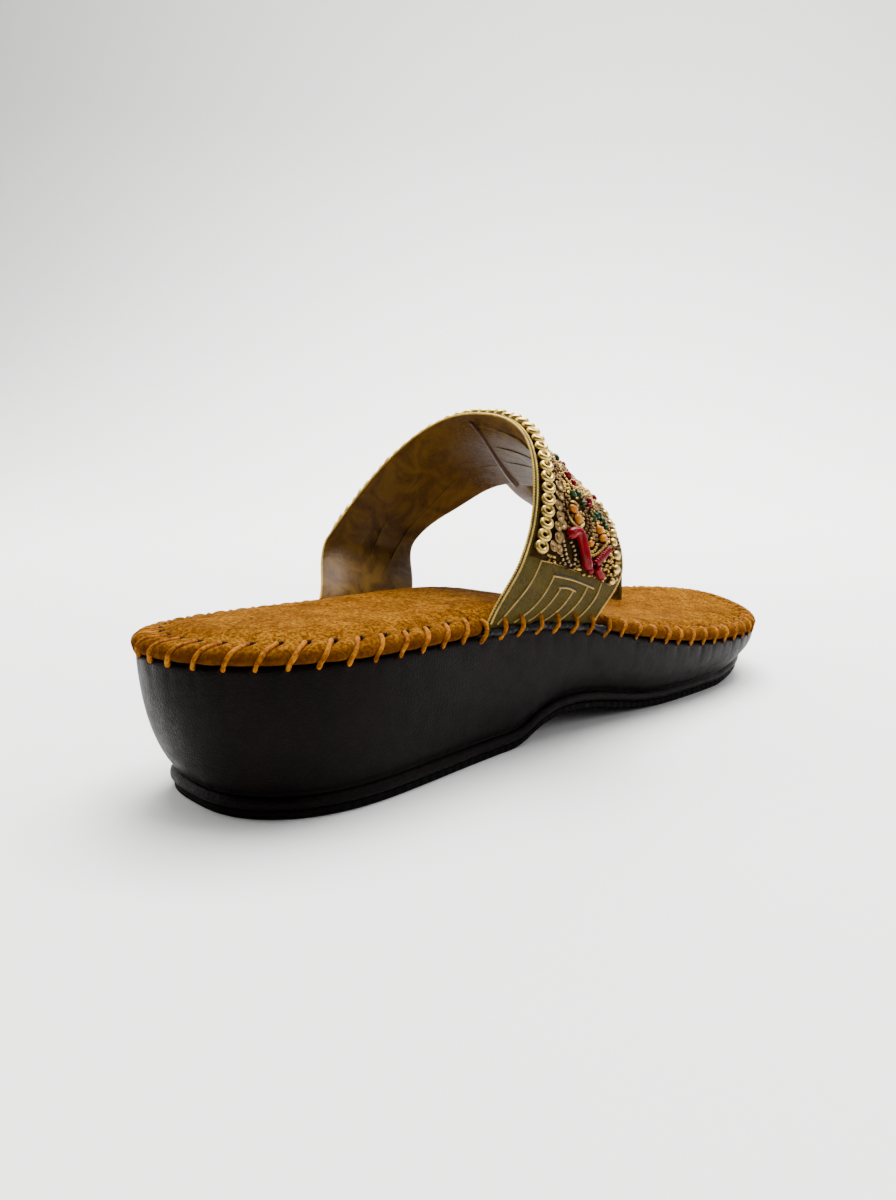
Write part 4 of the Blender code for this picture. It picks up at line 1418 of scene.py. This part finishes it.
def tilted(over, out, angle):
    """The directions over and out, leaned by an angle about the third."""
    return np.cos(angle) * over + np.sin(angle) * out, np.cos(angle) * out - np.sin(angle) * over


def turned(over, fore, angle):
    """The directions over and fore, turned by an angle about the way out."""
    return np.cos(angle) * over + np.sin(angle) * fore, np.cos(angle) * fore - np.sin(angle) * over


def make_rings():
    """The row of pale gold rings, leaning back towards the rear edge, each resting on the one before."""
    bits = Joined()
    shape = ring_shape(RING_WIDTH, RING_HOLE, RING_HEIGHT, sides=26, around=10)
    spots = along_strap(RING_PITCH, RING_IN, -PANEL_REACH * INNER_SHARE, PANEL_REACH - 0.005)
    upright = smooth((0.50 - spots[:, 0]) / 0.4)
    lifts = STRAP_WALL + RING_LIFT + CREST_LIFT * upright
    points, over, fore, out = strap_frame(spots[:, 0], spots[:, 1], lifts)
    for k in range(len(spots)):
        lean = RING_LEAN + CREST_LEAN * upright[k] + RANDOM.normal(0, ANGLE_JITTER)
        new_fore, new_out = tilted(fore[k], out[k], lean)
        new_over, new_out = tilted(over[k], new_out, RING_ROLL + RANDOM.normal(0, ANGLE_JITTER))
        bits.place(shape, points[k] + fore[k] * RANDOM.normal(0, 0.00010), new_over, new_fore, new_out)
    return bits.build("gold_rings", [gold("pale_gold", (0.66, 0.44, 0.105), 0.30)])


def make_ring_bed():
    """The padded cord that carries the rings."""
    bits = Joined()
    spots = along_strap(0.002, RING_IN + 0.0011, -PANEL_REACH * INNER_SHARE, PANEL_REACH - 0.002)
    bits.add(*tube(on_strap(spots, STRAP_WALL + 0.0007), 0.0011, sides=10))
    cord = two_tone("ring_bed_cord", 0.8, 0.001, (0.030, 0.016, 0.005), (0.080, 0.048, 0.015))
    return bits.build("ring_bed", [cord.material])


def make_sequins(taken):
    """Flat satin sequins beside the rings, in one full row and one that half shows."""
    bits = Joined()
    shape = disc_shape(SEQUIN_WIDTH, 0.0006, 0.0004, cup=0.0004)
    for inside, pitch, lift, start in SEQUIN_ROWS:
        spots = along_strap(pitch, inside, -PANEL_REACH * INNER_SHARE + 0.02, PANEL_REACH - 0.012)
        spots = spots[np.abs(spots[:, 0]) > start]
        points, over, fore, out = strap_frame(spots[:, 0], spots[:, 1], np.full(len(spots), STRAP_WALL + lift))
        for k in range(len(spots)):
            new_over, new_out = tilted(over[k], out[k], np.radians(11) + RANDOM.normal(0, ANGLE_JITTER))
            size = 1 + RANDOM.normal(0, 0.04)
            spot = points[k] + fore[k] * RANDOM.normal(0, 0.0003)
            bits.place(shape, spot, new_over, fore[k], new_out, size)
        taken += [(point, SEQUIN_WIDTH / 2) for point in points]
    return bits.build("satin_sequins", [gold("satin_beige", (0.30, 0.185, 0.065), 0.45)])


def stick(path, radius, sides=14, count=30):
    """A stick bead with rounded ends along a path."""
    even = resample(path, count)
    share = np.linspace(0, 1, count)
    round_off = np.sqrt(np.clip(1 - np.clip(1 - share / 0.12, 0, 1) ** 2, 0.001, 1))
    round_off *= np.sqrt(np.clip(1 - np.clip(1 - (1 - share) / 0.10, 0, 1) ** 2, 0.001, 1))
    head = 1 + 0.18 * np.exp(-((share / 0.16) ** 2))
    return tube(even, radius * round_off * head, sides=sides)


def faceted(length, width, height):
    """A stone: a rounded pebble with a few soft facets."""
    points, faces = bead_shape(1.0, 1.0, sides=12, around=9)
    lump = 1 + 0.07 * np.sin(points[:, 0] * 7 + points[:, 1] * 5) * np.cos(points[:, 2] * 6)
    return points * lump[:, None] * np.array([length, width, height]), faces


def seed_shape():
    """A seed bead: a short fat ring that stands on its side."""
    profile = [(0.10, 0.24), (0.34, 0.34), (0.50, 0.0), (0.34, -0.34), (0.10, -0.24)]
    points, faces = lathe(profile, 7)
    return points[:, [2, 0, 1]], faces[:, ::-1]


STICK_LIFT, STONE_LIFT = 0.0008, 0.0006  # of their undersides above the cloth
SPIRAL_POINTS = 145
SPIRAL_RINGS = 9


def make_stones(taken):
    """Coral, orange, green and gold stones and stick beads. It notes the room that each takes."""
    kinds = {kind: Joined() for kind in ("coral", "orange", "green", "gold")}
    for kind, thickness, path in STICKS:
        radius = thickness * MM / 2
        for _, pairs in wings(path):
            line = on_strap(pairs, STRAP_WALL + STICK_LIFT + radius)
            kinds[kind].add(*stick(line, radius))
            taken += [(p, radius) for p in resample(line, 9)]
    winding = np.abs(np.sin(np.linspace(0.1, SPIRAL_RINGS * np.pi - 0.1, SPIRAL_POINTS)))
    for thickness, start, end in SPIRALS:
        radius = thickness * MM / 2
        for _, pairs in wings((start, end)):
            line = on_strap(np.linspace(pairs[0], pairs[1], 5), STRAP_WALL + STICK_LIFT + radius)
            line = resample(line, SPIRAL_POINTS)
            kinds["coral"].add(*tube(line, radius * (0.72 + 0.42 * np.sqrt(winding)), sides=14))
            taken += [(p, radius) for p in line[::20]]
    for kind, across, down, length, width, height, angle in STONES:
        for side, pairs in wings([(across, down)]):
            lift = STRAP_WALL + STONE_LIFT + height * MM / 2
            points, over, fore, out = strap_frame(pairs[:, 0], pairs[:, 1], np.array([lift]))
            new_over, new_fore = turned(over[0], fore[0], side * np.radians(angle))
            stone = faceted(length * MM, width * MM, height * MM)
            kinds[kind].place(stone, points[0], new_over, new_fore, out[0])
            taken.append((points[0], max(length, width) * MM / 2 * 0.85))
    coral = kinds["coral"].build("coral_beads", [glass_bead("coral_red", (0.195, 0.0008, 0.0054), 0.24)])
    orange = kinds["orange"].build("orange_stones", [glass_bead("amber_orange", (0.50, 0.150, 0.0015), 0.3)])
    green = kinds["green"].build("green_stones", [glass_bead("bottle_green", (0.014, 0.044, 0.0060), 0.16)])
    beads = kinds["gold"].build("gold_beads", [gold("soft_gold", (0.68, 0.46, 0.13), 0.28)])
    return [coral, orange, green, beads]


def make_wires():
    """The loops of gold wire round the stones."""
    bits = Joined()
    for path in WIRES:
        for _, pairs in wings(path):
            twisted(bits, on_strap(pairs, STRAP_WALL + 0.0016), 0.00022, 0.0014)
    return bits.build("gold_wires", [gold("gold_wire", (0.72, 0.50, 0.15), 0.32)])


FIELD_ROWS = (0.0074, 0.0385)  # first row of loose seeds and the last row's limit, inside the rear edge
SEED_SKIPS = 0.08  # share of the places in a row that stay empty
SEED_JITTER = 0.00016


def make_seeds(taken):
    """Chains of seed beads, then loose rows of them over the rest of the field."""
    kinds = {kind: Joined() for kind in ("silver", "bronze", "gold", "beige")}
    shape = seed_shape()
    chained = []
    for kind, path in CHAINS:
        for _, pairs in wings(path):
            line = on_strap(pairs, STRAP_WALL + 0.0012)
            size = np.linalg.norm(np.diff(line, axis=0), axis=1).sum()
            line = resample(line, max(3, int(size / (SEED_WIDTH * 0.95))))
            ahead = unit(np.gradient(line, axis=0))
            for point, direction in zip(line, ahead):
                side = unit(np.cross(direction, [0.2, 0.1, 1.0]))
                kinds[kind].place(shape, point, direction, side, np.cross(direction, side), SEED_WIDTH * 1.1)
                chained.append((point, SEED_WIDTH * 0.55))
    places = np.array([p for p, _ in taken + chained])
    reach = np.array([r for _, r in taken + chained])
    for row, inside in enumerate(np.arange(*FIELD_ROWS, SEED_PITCH * 0.92)):
        spots = along_strap(SEED_PITCH, inside, -PANEL_REACH * INNER_SHARE, PANEL_REACH - 0.008)
        spots[:, 0] += (row % 2) * 0.5 * SEED_PITCH / 0.078
        spots = spots[spots[:, 1] < 0.925]
        lifts = np.full(len(spots), STRAP_WALL + 0.0010)
        points, over, fore, out = strap_frame(spots[:, 0], spots[:, 1], lifts)
        for k, (across, down) in enumerate(spots):
            if (np.linalg.norm(places - points[k], axis=1) < reach + SEED_WIDTH * 0.42).any():
                continue
            bare = any(((abs(across) - a) / u) ** 2 + ((down - d) / v) ** 2 < 1 for a, d, u, v in BARE)
            if bare or RANDOM.random() < SEED_SKIPS:
                continue
            wave = np.sin(across * 31 + down * 9) + np.sin(down * 23 - across * 13)
            kind = "gold" if wave > 0.1 else "beige" if wave > -0.9 else "bronze"
            new_over, new_fore = turned(over[k], fore[k], RANDOM.uniform(0, np.pi))
            new_over, new_out = tilted(new_over, out[k], RANDOM.uniform(-0.5, 0.5))
            shift = RANDOM.normal(0, SEED_JITTER, 3)
            spot = points[k] + over[k] * shift[0] + fore[k] * shift[1] + out[k] * shift[2]
            size = SEED_WIDTH * RANDOM.uniform(0.85, 1.25)
            kinds[kind].place(shape, spot, new_over, new_fore, new_out, size)
    finishes = {
        "silver": gold("seed_silver", (0.40, 0.29, 0.15), 0.30),
        "bronze": gold("seed_bronze", (0.14, 0.072, 0.022), 0.38),
        "gold": gold("seed_gold", (0.60, 0.37, 0.085), 0.30),
        "beige": gold("seed_beige", (0.33, 0.195, 0.065), 0.36),
    }
    return [kinds[kind].build("seed_beads_" + kind, [finishes[kind]]) for kind in kinds]


def make_field_threads():
    """The nested lines of gold thread on the plain foot of each wing."""
    bits = Joined()
    for path in RUNS + BRIDGES:
        for side in (1, -1):
            places = np.array(path) * [side, 1]
            twisted(bits, resample(on_strap(places, STRAP_WALL + 0.00012), 40), THREAD_RADIUS, 0.0013)
    for side in (1, -1):
        across = np.linspace(0.0, 0.99, 90) * side
        places = np.stack([across, np.full(90, 0.985)], 1)
        twisted(bits, on_strap(places, STRAP_WALL), THREAD_RADIUS * 1.3, 0.0016)
    return bits.build("field_threads", [gold("field_gold", (0.56, 0.37, 0.11), 0.34)])


def make_field_shadows():
    """The dark line of painted shadow beside each run of gold thread."""
    bits = Joined()
    for paths, shift, radius in ((RUNS, (0, 0.014), 0.00020), (BRIDGES, (-0.006, 0), 0.00024)):
        for path in paths:
            for side in (1, -1):
                places = (np.array(path) + shift) * [side, 1]
                bits.add(*tube(resample(on_strap(places, STRAP_WALL), 40), radius, sides=6))
    dark = two_tone("painted_thread_shadow", 0.8, 0.001, (0.006, 0.003, 0.0015), (0.016, 0.009, 0.004))
    return bits.build("field_thread_shadows", [dark.material])


GROUND_TOP, GROUND_BOTTOM = 0.055, 0.94  # places down of the dark cloth's two edges


def make_panel_ground():
    """The dark cloth under the beads."""
    columns = np.linspace(-PANEL_REACH * INNER_SHARE, PANEL_REACH - 0.003, 160)
    rows = np.linspace(GROUND_TOP, GROUND_BOTTOM, 30)
    lifts = STRAP_WALL + 0.0006 * smooth(np.minimum(rows - GROUND_TOP, GROUND_BOTTOM - rows) / 0.02)
    grid = np.array([strap_frame(np.full(len(rows), a), rows, lifts)[0] for a in columns])
    dark, light = (0.010, 0.0045, 0.0012), (0.036, 0.0180, 0.0040)
    ground = two_tone("dark_ground", 0.75, 0.0015, dark, light, Specular_IOR_Level=0.02)
    ground.bump(ground.noise(0.0006), 0.0002)
    return mesh_object("bead_ground", grid, grid_faces(len(columns), len(rows))[:, ::-1], [ground.material])


SWEEP_START = 0.75  # how far behind the slipper the floor begins to rise
SWEEP_RISE = 1.5


def make_stage():
    """A pale floor that sweeps up behind the slipper."""
    turn = np.linspace(0, np.pi / 2, 24)[1:]
    depth = np.concatenate([np.linspace(-1.6, SWEEP_START, 12), SWEEP_START + SWEEP_RISE * np.sin(turn)])
    rise = np.concatenate([np.zeros(12), SWEEP_RISE * (1 - np.cos(turn))])
    depth, rise = np.append(depth, depth[-1]), np.append(rise, 2 * SWEEP_RISE)
    yaw = np.radians(CAMERA_YAW)
    ahead, side = np.array([-np.sin(yaw), np.cos(yaw), 0]), np.array([np.cos(yaw), np.sin(yaw), 0])
    wide = np.linspace(-3.5, 3.5, 3)
    up = np.array([0, 0, 1.0])
    grid = np.array([[ahead * d + side * w + up * z for w in wide] for d, z in zip(depth, rise)])
    made = Finish("pale_floor", roughness=0.6)
    made.colour(made.blend(made.noise(0.25, detail=2), (0.83, 0.83, 0.815), (0.85, 0.85, 0.835)))
    floor = mesh_object("floor", grid - SHIFT, grid_faces(len(depth), len(wide))[:, ::-1], [made.material])
    return floor


# Soft lamps: name, place, what it looks at, size, power and colour
LIGHTS = (
    ("overhead", (-0.16, 0.34, 1.3), (0, 0, 0), (1.1, 1.1), 74, (1, 1, 1)),
    ("left_window", (-1.1, -0.5, 0.8), (0, 0, 0.05), (1.0, 0.9), 15, (1.0, 0.99, 0.97)),
    ("right_fill", (1.2, 0.7, 0.8), (0, 0, 0.05), (0.9, 0.9), 9, (1, 1, 1)),
    ("backdrop", (-0.15, 0.95, 1.25), (-0.9, 1.7, 0.15), (2.2, 0.5), 75, (1, 1, 1)),
)


def area_light(name, place, target, size, power, colour):
    lamp = bpy.data.lights.new(name, "AREA")
    lamp.shape = "RECTANGLE"
    lamp.size, lamp.size_y = size
    lamp.energy = power
    lamp.color = colour
    made = bpy.data.objects.new(name, lamp)
    made.location = place
    made.rotation_mode = "QUATERNION"
    made.rotation_quaternion = (Vector(target) - Vector(place)).to_track_quat("-Z", "Y")
    bpy.context.scene.collection.objects.link(made)


def make_lights():
    world = bpy.data.worlds.new("studio")
    world.use_nodes = True
    background = world.node_tree.nodes["Background"]
    background.inputs["Color"].default_value = (0.94, 0.96, 1.0, 1)
    background.inputs["Strength"].default_value = 0.18
    bpy.context.scene.world = world
    for light in LIGHTS:
        area_light(*light)


def make_camera():
    camera = bpy.data.cameras.new("camera")
    camera.sensor_width = SENSOR
    camera.lens = FOCAL_PIXELS / PHOTO_HEIGHT * SENSOR
    camera.clip_start, camera.clip_end = 0.01, 50
    made = bpy.data.objects.new("camera", camera)
    yaw, pitch, roll = np.radians([CAMERA_YAW, CAMERA_PITCH, CAMERA_ROLL])
    ahead = np.array([-np.sin(yaw) * np.cos(pitch), np.cos(yaw) * np.cos(pitch), -np.sin(pitch)])
    right = np.array([np.cos(yaw), np.sin(yaw), 0.0])
    up = np.cross(right, ahead)
    right, up = np.cos(roll) * right + np.sin(roll) * up, np.cos(roll) * up - np.sin(roll) * right
    turned = Matrix(np.column_stack([right, up, -ahead]).tolist()).to_4x4()
    turned.translation = Vector(np.array(CAMERA_PLACE) + SHIFT)
    made.matrix_world = turned
    bpy.context.scene.collection.objects.link(made)
    bpy.context.scene.camera = made


def put(piece, slot, *nodes):
    """Fixes a piece to the one body and hides the solids it stands for."""
    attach(piece, "root")
    if nodes:
        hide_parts(*nodes)
    return piece


make_camera()
make_lights()
make_stage()
put(make_sole(), "sole", "sole")
put(make_outsole(), "outsole", "outsole")
footbed = put(make_footbed(), "footbed", "footbed")
put(make_stitches(), None)
# dark pieces of painted shade in the stitch holes
put(make_hole_shade_pieces(), None)
put(make_foot_folds(), None)
put(make_strap(), "strap", "strap")
put(make_thong(), "strap")
put(make_panel_ground(), "bead_panel", "bead_panel")
put(make_rear_cord(), None)
put(make_edge_shadow(), None)
for piece in make_lining_lines():
    put(piece, None)
put(make_rings(), "bead_panel")
put(make_ring_bed(), None)
room_taken = []
put(make_sequins(room_taken), "bead_panel")
for piece in make_stones(room_taken) + [make_wires()] + make_seeds(room_taken):
    put(piece, "bead_panel")
put(make_field_threads(), None)
put(make_field_shadows(), None)
